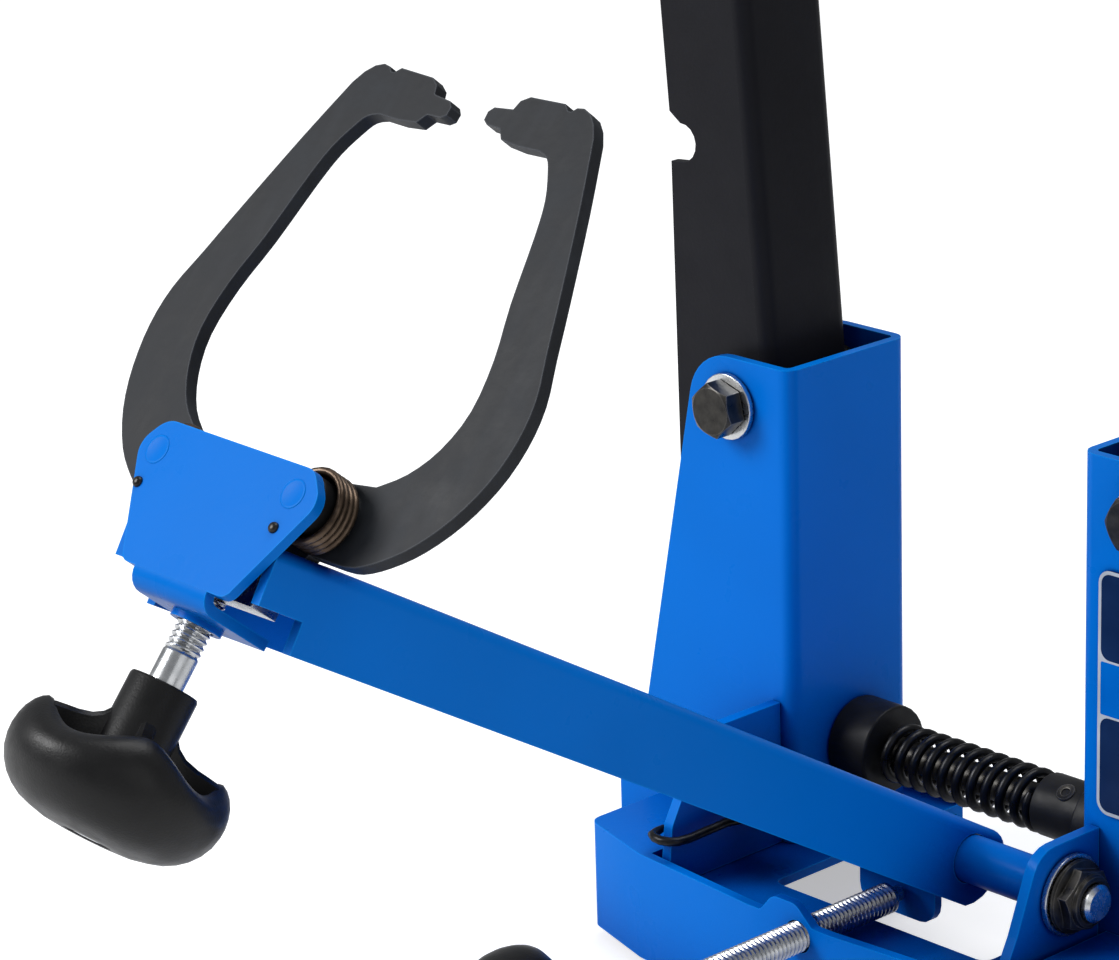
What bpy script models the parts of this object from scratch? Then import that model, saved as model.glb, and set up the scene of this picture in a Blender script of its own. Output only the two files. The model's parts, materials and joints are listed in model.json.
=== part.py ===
"""Wheel truing stand: a bench stand with two spreading uprights and a caliper arm.

Metres, +Z up. X runs along the wheel's axle, and the calipers are at the front, towards -Y.
The pieces are laid out from a point on the bench midway between the uprights. At the end the
origin moves to the middle of the whole stand's box, still on the bench.
"""
import bpy
import bmesh
from math import atan2, cos, pi, radians, sin, tan
from mathutils import Matrix, Vector

# ---------------------------------------------------------------- driving dimensions
GAP = 0.0003                  # clearance between neighbouring pieces
SHEET = 0.0025                # steel sheet of the brackets, base and arm
THREAD_R = 0.00397            # 5/16 inch adjusting studs

STAND_MIDDLE = (0.0142, -0.1305)  # middle of the whole stand's box, from midway between the uprights
ROD_Z = 0.047                 # spreading rod above the bench
ROD_Y = 0.002
ROD_R = 0.004
BUSH_R = 0.01175              # bushes that carry the rod in the brackets' webs
BUSH_DEPTH = 0.0128
COLLAR_IN = 0.0185
COLLAR_R = 0.0082
SPREAD_COIL_R = 0.0069        # mean radius of the spring between the bushes
SPREAD_WIRE = 0.0013
SWING_ROOM = 0.0032           # room round the rod where the uprights' feet swing
BASE_TOP = 0.032              # top edge of the base's walls
BASE_BOTTOM = 0.003           # the feet lift the base by this much
DECK_TOP = 0.0235
BASE_BACK = 0.030
OPENING_HALF = 0.036          # half width of the deck's opening between the brackets
BASE_HALF = 0.1105
CHEEK_HALF = 0.085            # half width of the base's front part
CHEEK_BACK = -0.0250          # where the base widens behind the brackets' flanges
BASE_FRONT = -0.0703
CREASE = (0.0600, -0.0665)    # where the front wall starts to turn back

BRACKET_IN = 0.0478           # inner face of each bracket's web
BRACKET_HALF = 0.022          # half the bracket's width along Y
BRACKET_TOP = 0.152
FLANGE_TOP = 0.0806           # outer edge of the bracket's flange at its top
FLANGE_LOW = 0.1095           # and at the deck

HINGE_X = 0.0684              # upright hinge bolts
HINGE_Z = 0.1393
UPRIGHT_LEAN = radians(5.0)
UPRIGHT_HALF = 0.01475
UPRIGHT_FLANGE = 0.0295       # flange width above the notch
UPRIGHT_TAPER = 0.0733        # and how fast it widens below
UPRIGHT_WEB = -0.0083         # web's inner face from the hinge
UPRIGHT_UP = 0.312            # upright above its hinge
UPRIGHT_DOWN = 0.103          # and below it

PIVOT_Y = -0.0337             # caliper arm's pivot
PIVOT_Z = 0.0448
ARM_RISE = radians(30.6)
ARM_HALF = 0.024
ARM_TOP = 0.0086
ARM_UNDER = -0.0114
EAR_IN = 0.0520
EAR_SHEET = 0.003

CALIPER_LEAN = radians(39.4)  # caliper plane, tipped back from the vertical
SCREW_Y = -0.2484             # a point on the caliper screw's axis
SCREW_Z = 0.1544
CALIPER_PIVOT = (0.0225, 0.033)
CALIPER_HALF_THICK = 0.0018
CALIPER_SKEW = radians(1.4)   # both calipers rest swung a little to the right
SCREW_AHEAD = 0.002           # screw axis, ahead of the calipers' middle
HOUSING_FRONT = 0.0145        # outer face of the front plate, ahead of the calipers

STUD_Z = ROD_Z - 0.0185       # height stud, along Y
TAB_FRONT = -0.0321           # face that the height stud pushes

ARM_SPRING_R = 0.0085
ARM_SPRING_WIRE = 0.0012

KNOB_R = 0.0248
KNOB_BORE = 0.0120            # how deep the knob's core reaches, from its face
CALIPER_KNOB_REACH = 0.0472   # knob face below the housing's wall
HEIGHT_KNOB_Y = -0.1715

BRACKET_OUT = 0.112           # flanges before their outer edges are trimmed
LABEL_SHEET = 0.0006
FOOT_R = 0.009
CUT_DEPTH = 0.05              # tools this thick pass right through an upright

BOLT_R = 0.0039               # 5/16 inch hinge bolts
BOLT_BORE = 0.0043
BOLT_CORNERS = 0.0147         # across the corners of their heads and nuts
WASHER_R = 0.00875
WASHER_SHEET = 0.0016
SPACER_R = 0.0075
PIVOT_R = 0.00476             # 3/8 inch pivot bolt
PIVOT_BORE = 0.0051
PIVOT_CORNERS = 0.0165
PIVOT_WASHER_R = 0.0103
PIN_R = 0.0032                # calipers' pins
PIN_BORE = 0.0035
CALIPER_COIL_R = 0.0077       # springs round the pins
CALIPER_WIRE = 0.0008

# ---------------------------------------------------------------- scene and materials
for old in list(bpy.data.objects):
    bpy.data.objects.remove(old, do_unlink=True)

parts = bpy.data.collections.new("truing_stand")
cutters = bpy.data.collections.new("cutters")
bpy.context.scene.collection.children.link(parts)
bpy.context.scene.collection.children.link(cutters)

FINISHES = {
    "blue": ((0.0, 0.16, 0.62), 0.35, 0.0),
    "black": ((0.02, 0.02, 0.024), 0.45, 0.0),
    "zinc": ((0.72, 0.73, 0.74), 0.28, 1.0),
    "dark_steel": ((0.06, 0.06, 0.06), 0.4, 1.0),
    "spring": ((0.03, 0.03, 0.03), 0.35, 1.0),
    "bronze": ((0.16, 0.11, 0.07), 0.4, 1.0),
    "plastic": ((0.012, 0.012, 0.013), 0.5, 0.0),
    "rubber": ((0.02, 0.02, 0.02), 0.85, 0.0),
    "label": ((0.02, 0.05, 0.16), 0.3, 0.0),
}


def finish(obj, kind):
    """Give the object its own material in one of the stand's finishes."""
    colour, roughness, metallic = FINISHES[kind]
    material = bpy.data.materials.new(obj.name + "_" + kind)
    material.use_nodes = True
    shader = material.node_tree.nodes["Principled BSDF"]
    shader.inputs["Base Color"].default_value = (*colour, 1.0)
    shader.inputs["Roughness"].default_value = roughness
    shader.inputs["Metallic"].default_value = metallic
    material.diffuse_color = (*colour, 1.0)
    obj.data.materials.clear()
    obj.data.materials.append(material)
    return obj


# ---------------------------------------------------------------- frames
def frame(origin, x_axis, y_axis):
    """Placement whose local x and y run along the given world directions."""
    x_axis = Vector(x_axis).normalized()
    y_axis = Vector(y_axis).normalized()
    z_axis = x_axis.cross(y_axis)
    matrix = Matrix((x_axis, y_axis, z_axis)).transposed().to_4x4()
    matrix.translation = Vector(origin)
    return matrix


def facing_x(x):
    """Local x and y are world Y and Z, on the plane at this x."""
    return frame((x, 0, 0), (0, 1, 0), (0, 0, 1))


def facing_y(y):
    """Local x and y are world X and Z, on the plane at this y."""
    return frame((0, y, 0), (1, 0, 0), (0, 0, 1))


def facing_z(z):
    return Matrix.Translation((0, 0, z))


ARM_ALONG = Vector((0, -cos(ARM_RISE), sin(ARM_RISE)))
ARM_OVER = Vector((0, sin(ARM_RISE), cos(ARM_RISE)))
PIVOT = Vector((0, PIVOT_Y, PIVOT_Z))
SCREW_AXIS = Vector((0, sin(CALIPER_LEAN), cos(CALIPER_LEAN)))
CALIPER_OUT = Vector((0, -cos(CALIPER_LEAN), sin(CALIPER_LEAN)))
SCREW_POINT = Vector((0, SCREW_Y, SCREW_Z))


def arm_side(x):
    """Local x runs up the arm and local y over it, on the plane at this x."""
    return frame(PIVOT + Vector((x, 0, 0)), ARM_ALONG, ARM_OVER)


def caliper_plane(out):
    """Local x is world X and local y climbs the screw axis, at this distance in front."""
    return frame(SCREW_POINT + CALIPER_OUT * out, (1, 0, 0), SCREW_AXIS)


def turned_frame(origin, axis):
    """Local z runs along the axis."""
    matrix = Vector(axis).to_track_quat("Z", "Y").to_matrix().to_4x4()
    matrix.translation = Vector(origin)
    return matrix


# ---------------------------------------------------------------- shapes
def arc(centre, radius, start, end, steps):
    """Points on an arc, angles in degrees."""
    points = []
    for i in range(steps + 1):
        angle = radians(start + (end - start) * i / steps)
        points.append((centre[0] + radius * cos(angle), centre[1] + radius * sin(angle)))
    return points


def rounded(corners, steps=4):
    """Closed outline with its corners rounded; each corner is x, y, radius."""
    outline = []
    count = len(corners)
    for i, (x, y, radius) in enumerate(corners):
        here = Vector((x, y))
        if radius == 0:
            outline.append(here)
            continue
        before = (Vector(corners[i - 1][:2]) - here).normalized()
        after = (Vector(corners[(i + 1) % count][:2]) - here).normalized()
        half = before.angle(after) / 2
        centre = here + (before + after).normalized() * (radius / sin(half))
        first = here + before * (radius / tan(half)) - centre
        last = here + after * (radius / tan(half)) - centre
        start = atan2(first.y, first.x)
        sweep = (atan2(last.y, last.x) - start + pi) % (2 * pi) - pi
        for k in range(steps + 1):
            angle = start + sweep * k / steps
            outline.append(centre + Vector((cos(angle), sin(angle))) * radius)
    return outline


def curve_to_mesh(curve_object):
    """Swap a curve object for a welded mesh object in the same place."""
    name = curve_object.name
    bpy.context.view_layer.update()
    depsgraph = bpy.context.evaluated_depsgraph_get()
    evaluated = curve_object.evaluated_get(depsgraph)
    mesh = bpy.data.meshes.new_from_object(evaluated, depsgraph=depsgraph)
    welded = bmesh.new()
    welded.from_mesh(mesh)
    bmesh.ops.remove_doubles(welded, verts=welded.verts, dist=1e-6)
    bmesh.ops.recalc_face_normals(welded, faces=welded.faces)
    welded.to_mesh(mesh)
    welded.free()
    obj = bpy.data.objects.new(name + "_mesh", mesh)
    obj.matrix_world = curve_object.matrix_world
    for collection in curve_object.users_collection:
        collection.objects.link(obj)
    bpy.data.objects.remove(curve_object, do_unlink=True)
    obj.name = name
    return obj


def slab(name, outlines, thickness, place, collection=parts):
    """Flat plate: one outline, or one outline followed by the outlines of its holes."""
    if not isinstance(outlines[0], list):
        outlines = [outlines]
    curve = bpy.data.curves.new(name, "CURVE")
    curve.dimensions = "2D"
    curve.fill_mode = "BOTH"
    curve.extrude = thickness / 2
    for outline in outlines:
        spline = curve.splines.new("POLY")
        spline.points.add(len(outline) - 1)
        for point, place_2d in zip(spline.points, outline):
            point.co = (place_2d[0], place_2d[1], 0, 1)
        spline.use_cyclic_u = True
    obj = bpy.data.objects.new(name, curve)
    obj.matrix_world = place
    collection.objects.link(obj)
    return curve_to_mesh(obj)


def mesh_object(name, shape, place, collection):
    mesh = bpy.data.meshes.new(name)
    shape.to_mesh(mesh)
    shape.free()
    obj = bpy.data.objects.new(name, mesh)
    obj.matrix_world = place
    collection.objects.link(obj)
    return obj


def cylinder(name, radius, start, end, sides=24, collection=parts, end_radius=None):
    """Solid cylinder or cone between two points."""
    start = Vector(start)
    end = Vector(end)
    shape = bmesh.new()
    bmesh.ops.create_cone(
        shape, cap_ends=True, segments=sides, radius1=radius,
        radius2=radius if end_radius is None else end_radius, depth=(end - start).length)
    return mesh_object(name, shape, turned_frame((start + end) / 2, end - start), collection)


def box(name, low, high, place, collection=parts):
    """Block between two corners, given in the placement's own directions."""
    low = Vector(low)
    high = Vector(high)
    shape = bmesh.new()
    bmesh.ops.create_cube(shape, size=1.0)
    bmesh.ops.scale(shape, verts=shape.verts, vec=high - low)
    bmesh.ops.translate(shape, verts=shape.verts, vec=(low + high) / 2)
    return mesh_object(name, shape, place, collection)


def turned(name, profile, place, steps=24):
    """Turned piece from (radius, height) points, listed from its top to its bottom."""
    mesh = bpy.data.meshes.new(name)
    mesh.from_pydata([(radius, 0, height) for radius, height in profile],
                     [(i, i + 1) for i in range(len(profile) - 1)], [])
    obj = bpy.data.objects.new(name, mesh)
    obj.matrix_world = place
    parts.objects.link(obj)
    screw = obj.modifiers.new("Turn", "SCREW")
    screw.steps = steps
    screw.render_steps = steps
    screw.use_merge_vertices = True
    screw.merge_threshold = 0.0001
    return obj


def ring(name, inner, outer, start, end, sides=24):
    """Washer or sleeve between two points on its axis."""
    start = Vector(start)
    end = Vector(end)
    long = (end - start).length
    profile = [(inner, long), (outer, long), (outer, 0), (inner, 0), (inner, long)]
    return turned(name, profile, turned_frame(start, end - start), sides)


def wire(name, points, radius):
    """Bent wire through the points."""
    curve = bpy.data.curves.new(name, "CURVE")
    curve.dimensions = "3D"
    curve.bevel_depth = radius
    curve.bevel_resolution = 2
    curve.use_fill_caps = True
    spline = curve.splines.new("POLY")
    spline.points.add(len(points) - 1)
    for point, place_3d in zip(spline.points, points):
        point.co = (*place_3d, 1)
    obj = bpy.data.objects.new(name, curve)
    parts.objects.link(obj)
    return curve_to_mesh(obj)


def coil(origin, axis, radius, length, turns, per_turn=12, start_angle=0.0):
    """Points along a coil that starts at the origin and runs along the axis."""
    place = turned_frame(origin, axis)
    count = int(turns * per_turn)
    points = []
    for i in range(count + 1):
        angle = start_angle + 2 * pi * i / per_turn
        local = Vector((radius * cos(angle), radius * sin(angle), length * i / count))
        points.append(place @ local)
    return points


def boolean(target, tool, operation, solver="EXACT"):
    """Cut or join the target with a tool, which is kept in the cutters' collection."""
    tool.hide_render = True
    tool.display_type = "WIRE"
    modifier = target.modifiers.new(operation.title(), "BOOLEAN")
    modifier.operation = operation
    modifier.object = tool
    modifier.solver = solver
    return target


def smooth(obj, degrees=35):
    obj.data.shade_smooth()
    obj.data.set_sharp_from_angle(angle=radians(degrees))
    return obj


# ---------------------------------------------------------------- joints' empties
def joint(name, origin):
    empty = bpy.data.objects.new(name, None)
    empty.location = Vector(origin)
    empty.empty_display_size = 0.01
    parts.objects.link(empty)
    return empty


def ride(empty, *objects):
    """Parent the pieces to a joint's empty and keep them where they are."""
    bpy.context.view_layer.update()
    for obj in objects:
        placed = obj.matrix_world.copy()
        obj.parent = empty
        obj.matrix_parent_inverse = empty.matrix_world.inverted()
        obj.matrix_world = placed


# ---------------------------------------------------------------- base and brackets
def base_outline(inset):
    """Plan of the base: a narrow front part with bent cheeks, and a wide part under the brackets."""
    side = BASE_HALF - inset
    back = BASE_BACK - inset
    cheek = CHEEK_HALF - inset
    step = CHEEK_BACK + inset
    corner = CREASE[1] + 0.0070 + inset
    crease = (CREASE[0] - inset * 0.3, CREASE[1] + inset)
    front = BASE_FRONT + inset
    return rounded([
        (side, back, 0.006), (-side, back, 0.006), (-side, step, 0.001), (-cheek, step, 0.001),
        (-cheek, corner, 0.004), (-crease[0], crease[1], 0), (-0.0170, front, 0),
        (0.0105, front, 0), (crease[0], crease[1], 0), (cheek, corner, 0.004),
        (cheek, step, 0.001), (side, step, 0.001)])


def base_shelf(side):
    """Plan of the closed shelf over one front corner of the base."""
    inner = 0.0575
    half_wall = SHEET / 2
    outline = [(inner, -BRACKET_HALF - GAP), (inner, CREASE[1] + half_wall),
               (CREASE[0], CREASE[1] + half_wall), (CHEEK_HALF - half_wall, CREASE[1] + 0.0078),
               (CHEEK_HALF - half_wall, -BRACKET_HALF - GAP)]
    return [(side * x, y) for x, y in outline]


def make_base():
    height = BASE_TOP - BASE_BOTTOM
    middle = (BASE_TOP + BASE_BOTTOM) / 2
    base = slab("base_frame", [base_outline(0), base_outline(SHEET)], height, facing_z(middle))
    deck = slab("deck_tool", base_outline(SHEET / 2), SHEET, facing_z(DECK_TOP - SHEET / 2), cutters)
    boolean(base, deck, "UNION")
    for side, name in ((-1, "left"), (1, "right")):
        shelf = slab("shelf_tool_" + name, base_shelf(side), SHEET, facing_z(BASE_TOP - SHEET / 2),
                     cutters)
        boolean(base, shelf, "UNION")
    brow = BASE_TOP - GAP / 3
    hump = rounded([(-0.0170, brow - 0.004, 0), (-0.0170, brow, 0), (-0.0128, brow, 0.0025),
                    (-0.0085, 0.0370, 0.0040), (-0.0005, 0.0370, 0.0045), (0.0050, brow, 0.0025),
                    (0.0100, brow, 0), (0.0100, brow - 0.004, 0)], 6)
    hump_tool = slab("hump_tool", hump, SHEET, facing_y(BASE_FRONT + SHEET / 2), cutters)
    boolean(base, hump_tool, "UNION")
    behind = BASE_BACK + 0.01
    opening = rounded([(OPENING_HALF, behind, 0), (-OPENING_HALF, behind, 0),
                       (-OPENING_HALF, -0.042, 0.003), (OPENING_HALF, -0.042, 0.003)])
    boolean(base, slab("opening_tool", opening, 2 * BASE_TOP, facing_z(DECK_TOP), cutters), "DIFFERENCE")
    hole = cylinder("stud_hole_tool", THREAD_R + GAP, (0, -0.08, STUD_Z), (0, -0.06, STUD_Z), 24, cutters)
    boolean(base, hole, "DIFFERENCE")
    return finish(base, "blue")


def make_bracket(side, name):
    """Channel that opens outwards, with flanges that widen towards the deck."""
    low = DECK_TOP + GAP
    section = rounded([
        (BRACKET_IN, -BRACKET_HALF, 0.004), (BRACKET_OUT, -BRACKET_HALF, 0),
        (BRACKET_OUT, -BRACKET_HALF + SHEET, 0), (BRACKET_IN + SHEET, -BRACKET_HALF + SHEET, 0.0015),
        (BRACKET_IN + SHEET, BRACKET_HALF - SHEET, 0.0015), (BRACKET_OUT, BRACKET_HALF - SHEET, 0),
        (BRACKET_OUT, BRACKET_HALF, 0), (BRACKET_IN, BRACKET_HALF, 0.004)])
    section = [(side * point[0], point[1]) for point in section]
    bracket = slab(name, section, BRACKET_TOP - low, facing_z((BRACKET_TOP + low) / 2))
    trim = rounded([(FLANGE_LOW, low - 0.01, 0), (FLANGE_TOP, BRACKET_TOP, 0.014),
                    (0.03, BRACKET_TOP, 0), (0.03, BRACKET_TOP + 0.02, 0),
                    (0.13, BRACKET_TOP + 0.02, 0), (0.13, low - 0.01, 0)], 8)
    trim = [(side * point[0], point[1]) for point in trim]
    boolean(bracket, slab(name + "_trim", trim, 0.06, facing_y(0), cutters), "DIFFERENCE")
    bolt = cylinder(name + "_bolt_hole", BOLT_BORE, (side * HINGE_X, -0.04, HINGE_Z),
                    (side * HINGE_X, 0.04, HINGE_Z), 20, cutters)
    boolean(bracket, bolt, "DIFFERENCE")
    hole = cylinder(name + "_rod_hole", 0.0048, (side * 0.03, ROD_Y, ROD_Z),
                    (side * 0.06, ROD_Y, ROD_Z), 20, cutters)
    boolean(bracket, hole, "DIFFERENCE")
    return finish(bracket, "blue")


def make_ear(side, name):
    """Upright plate ahead of a bracket that holds one end of the arm's pivot bolt."""
    back = -BRACKET_HALF - GAP
    foot = DECK_TOP + GAP
    if side > 0:
        outline = rounded([
            (back, foot, 0), (back, ROD_Z + 0.0114, 0), (-0.0440, ROD_Z + 0.0114, 0.008),
            (-0.0520, ROD_Z - 0.0080, 0.008), (-0.0600, foot, 0.001)])
    else:
        outline = rounded([
            (back, foot, 0), (back, ROD_Z + 0.0156, 0), (-0.0470, ROD_Z + 0.0156, 0.006),
            (-0.0565, ROD_Z + 0.0025, 0.008), (-0.0618, ROD_Z - 0.0070, 0.004),
            (-0.0635, foot, 0.001)])
    hole = arc((PIVOT_Y, PIVOT_Z), PIVOT_BORE, 0, 345, 23)
    middle = side * (EAR_IN + EAR_SHEET / 2)
    return finish(slab(name, [outline, hole], EAR_SHEET, facing_x(middle)), "blue")


def make_feet():
    """Round rubber feet under the deck."""
    for row, y, across in (("front", -0.047, 0.072), ("rear", 0.0165, 0.095)):
        for column, x in (("left", -across), ("right", across)):
            foot = cylinder("foot_%s_%s" % (row, column), FOOT_R, (x, y, 0),
                            (x, y, DECK_TOP - SHEET - GAP), 20)
            finish(smooth(foot), "rubber")


def make_label():
    outline = rounded([(0.0546, ROD_Z + 0.0155, 0.0035), (0.0546, ROD_Z + 0.0775, 0.0035),
                       (0.0845, ROD_Z + 0.0775, 0.0035), (0.0845, ROD_Z + 0.0155, 0.0035)])
    place = facing_y(-BRACKET_HALF - GAP - LABEL_SHEET / 2)
    return finish(slab("label_plate", outline, LABEL_SHEET, place), "label")


# ---------------------------------------------------------------- fasteners
def hexagon(radius_across_corners, centre=(0, 0)):
    return arc(centre, radius_across_corners, 0, 300, 5)


def hex_piece(name, across_corners, start, end, bore=0.0):
    """Hexagonal prism between two points, with an optional bore."""
    start = Vector(start)
    end = Vector(end)
    outlines = [hexagon(across_corners / 2)]
    if bore:
        outlines.append(arc((0, 0), bore, 0, 340, 17))
    return slab(name, outlines, (end - start).length, turned_frame((start + end) / 2, end - start))


def make_hinge_bolt(side, name):
    """5/16 hex bolt through both flanges of a bracket, with its washer and nut."""
    front = -BRACKET_HALF
    x = side * HINGE_X
    washer = ring(name + "_washer", BOLT_BORE, WASHER_R, (x, front - GAP, HINGE_Z),
                  (x, front - GAP - WASHER_SHEET, HINGE_Z))
    head = front - 2 * GAP - WASHER_SHEET
    bolt = hex_piece(name + "_bolt", BOLT_CORNERS, (x, head, HINGE_Z), (x, head - 0.0053, HINGE_Z))
    shank = cylinder(name + "_shank", BOLT_R, (x, head - 0.002, HINGE_Z),
                     (x, BRACKET_HALF + 0.010, HINGE_Z), 20, cutters)
    boolean(bolt, shank, "UNION")
    nut = hex_piece(name + "_nut", BOLT_CORNERS, (x, BRACKET_HALF + GAP, HINGE_Z),
                    (x, BRACKET_HALF + 0.0075, HINGE_Z), 0.0042)
    inner = UPRIGHT_HALF + GAP
    outer = BRACKET_HALF - SHEET - GAP
    front_spacer = ring(name + "_spacer_front", BOLT_BORE, SPACER_R, (x, -inner, HINGE_Z),
                        (x, -outer, HINGE_Z), 20)
    rear_spacer = ring(name + "_spacer_rear", BOLT_BORE, SPACER_R, (x, inner, HINGE_Z),
                       (x, outer, HINGE_Z), 20)
    finish(washer, "zinc")
    finish(bolt, "dark_steel")
    finish(nut, "dark_steel")
    finish(front_spacer, "plastic")
    finish(rear_spacer, "plastic")


def make_pivot_bolt():
    """3/8 bolt through both ears, with washers and a lock nut at the right end."""
    face = EAR_IN + EAR_SHEET + GAP
    for side, name in ((-1, "left"), (1, "right")):
        washer = ring("pivot_washer_" + name, 0.0052, PIVOT_WASHER_R, (side * face, PIVOT_Y, PIVOT_Z),
                      (side * (face + WASHER_SHEET), PIVOT_Y, PIVOT_Z), 28)
        finish(washer, "zinc")
    outside = face + WASHER_SHEET + GAP
    bolt = hex_piece("pivot_bolt", PIVOT_CORNERS, (-outside, PIVOT_Y, PIVOT_Z),
                     (-outside - 0.006, PIVOT_Y, PIVOT_Z))
    shank = cylinder("pivot_shank_tool", PIVOT_R, (-outside - 0.003, PIVOT_Y, PIVOT_Z),
                     (outside + 0.0082, PIVOT_Y, PIVOT_Z), 24, cutters)
    boolean(bolt, shank, "UNION")
    finish(bolt, "zinc")
    nut = hex_piece("pivot_nut", PIVOT_CORNERS, (outside, PIVOT_Y, PIVOT_Z),
                    (outside + 0.0062, PIVOT_Y, PIVOT_Z), 0.00505)
    finish(nut, "dark_steel")


# ---------------------------------------------------------------- uprights and rod
def make_upright(side, name, empty):
    """Channel that opens outwards, tipped out about its hinge bolt."""
    edge = UPRIGHT_WEB + UPRIGHT_FLANGE
    notch_z = 0.0655
    taper_top = notch_z + 0.0080
    wide = edge + (taper_top + UPRIGHT_DOWN) * UPRIGHT_TAPER
    section = rounded([
        (UPRIGHT_WEB, -UPRIGHT_HALF, 0.004), (wide, -UPRIGHT_HALF, 0),
        (wide, -UPRIGHT_HALF + SHEET, 0), (UPRIGHT_WEB + SHEET, -UPRIGHT_HALF + SHEET, 0.0015),
        (UPRIGHT_WEB + SHEET, UPRIGHT_HALF - SHEET, 0.0015), (wide, UPRIGHT_HALF - SHEET, 0),
        (wide, UPRIGHT_HALF, 0), (UPRIGHT_WEB, UPRIGHT_HALF, 0.004)])
    section = [(side * point[0], point[1]) for point in section]
    hinge = Matrix.Translation((side * HINGE_X, 0, HINGE_Z))
    tip = hinge @ Matrix.Rotation(side * UPRIGHT_LEAN, 4, "Y")
    middle = (UPRIGHT_UP - UPRIGHT_DOWN) / 2
    upright = slab(name, section, UPRIGHT_UP + UPRIGHT_DOWN, tip @ facing_z(middle))
    reach = UPRIGHT_UP + 0.01

    def side_cut(label, outline):
        outline = [(side * point[0], point[1]) for point in outline]
        tool = slab(name + label, outline, CUT_DEPTH, tip @ facing_y(0), cutters)
        boolean(upright, tool, "DIFFERENCE")

    side_cut("_top_trim", rounded([(UPRIGHT_WEB + 0.007, reach, 0), (edge + 0.01, reach, 0),
                                   (edge + 0.01, UPRIGHT_UP - 0.055, 0),
                                   (UPRIGHT_WEB + 0.007, UPRIGHT_UP - 0.016, 0.006)]))
    foot_top = -0.045
    knee = edge + (taper_top - foot_top) * UPRIGHT_TAPER
    beyond = wide + 0.01
    notch = [(edge, taper_top)] + arc((edge - 0.0036, notch_z), 0.005, 90, 270, 8)
    notch += [(edge + 0.0008, notch_z - 0.0050)]
    side_cut("_edge_trim", [(beyond, -UPRIGHT_DOWN - 0.01), (beyond, reach), (edge, reach)] + notch
             + [(knee, foot_top), (UPRIGHT_WEB + 0.012, -UPRIGHT_DOWN - 0.01)])
    slot = [(-0.005, UPRIGHT_UP + 0.01)] + arc((0, UPRIGHT_UP - 0.011), 0.005, 180, 360, 10)
    slot += [(0.005, UPRIGHT_UP - 0.004), (0.0085, UPRIGHT_UP + 0.01)]
    tool = slab(name + "_axle_slot", slot, 0.02, tip @ facing_x(side * (UPRIGHT_WEB + 0.001)), cutters)
    boolean(upright, tool, "DIFFERENCE")
    hinge_hole = cylinder(name + "_hinge_hole", BOLT_BORE, (side * HINGE_X, -0.04, HINGE_Z),
                          (side * HINGE_X, 0.04, HINGE_Z), 20, cutters)
    boolean(upright, hinge_hole, "DIFFERENCE")
    rod_hole = cylinder(name + "_rod_hole", ROD_R + SWING_ROOM, (side * 0.04, ROD_Y, ROD_Z),
                        (side * 0.08, ROD_Y, ROD_Z), 20, cutters)
    boolean(upright, rod_hole, "DIFFERENCE")
    ride(empty, finish(upright, "black"))


def upright_foot_x(height):
    """Inner face of the upright's web at this height, as a distance from the middle."""
    return HINGE_X + UPRIGHT_WEB / cos(UPRIGHT_LEAN) - (HINGE_Z - height) * tan(UPRIGHT_LEAN)


def make_cross_nut(side, name, empty):
    """Threaded cross nut in an upright's foot, which the rod draws in or out."""
    x = side * (upright_foot_x(ROD_Z) + SHEET + 0.0085)
    nut = cylinder(name, 0.0075, (x, ROD_Y - 0.0125, ROD_Z), (x, ROD_Y + 0.0085, ROD_Z), 24)
    tool = cylinder(name + "_hole", ROD_R + 0.0019, (x - 0.02, ROD_Y, ROD_Z), (x + 0.02, ROD_Y, ROD_Z),
                    20, cutters)
    boolean(nut, tool, "DIFFERENCE")
    ride(empty, finish(smooth(nut), "zinc"))


def make_rod(empty):
    """Rod with opposite threads, its knob, and the collar that its spring pushes."""
    rod = cylinder("threaded_rod", ROD_R, (-0.086, ROD_Y, ROD_Z), (0.117, ROD_Y, ROD_Z), 20)
    grip = [(0.0, 0.024), (0.010, 0.024), (0.0145, 0.021), (0.016, 0.016), (0.0155, 0.010),
            (0.012, 0.004), (0.009, 0.0), (0.0, 0.0)]
    handle = turned("spread_knob", grip, turned_frame((0.1173, ROD_Y, ROD_Z), (1, 0, 0)))
    collar = ring("rod_collar", ROD_R + GAP, COLLAR_R, (COLLAR_IN, ROD_Y, ROD_Z),
                  (BRACKET_IN - BUSH_DEPTH - 2 * GAP, ROD_Y, ROD_Z))
    finish(smooth(handle, 60), "plastic")
    ride(empty, finish(smooth(rod), "dark_steel"), handle, finish(smooth(collar), "black"))


def make_rod_bushes():
    """Deep bush on each web, and the spring between the left one and the rod's collar."""
    web = BRACKET_IN - GAP
    left = ring("rod_bush_left", ROD_R + GAP, BUSH_R, (-web, ROD_Y, ROD_Z),
                (-web + BUSH_DEPTH, ROD_Y, ROD_Z), 28)
    right = ring("rod_bush_right", ROD_R + GAP, BUSH_R, (web, ROD_Y, ROD_Z),
                 (web - BUSH_DEPTH, ROD_Y, ROD_Z), 28)
    finish(smooth(left), "black")
    finish(smooth(right), "black")
    start = -web + BUSH_DEPTH + GAP + SPREAD_WIRE
    length = COLLAR_IN - GAP - SPREAD_WIRE - start
    points = coil((start, ROD_Y, ROD_Z), (1, 0, 0), SPREAD_COIL_R, length, 10, 10)
    finish(smooth(wire("spread_spring", points, SPREAD_WIRE)), "spring")


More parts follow.
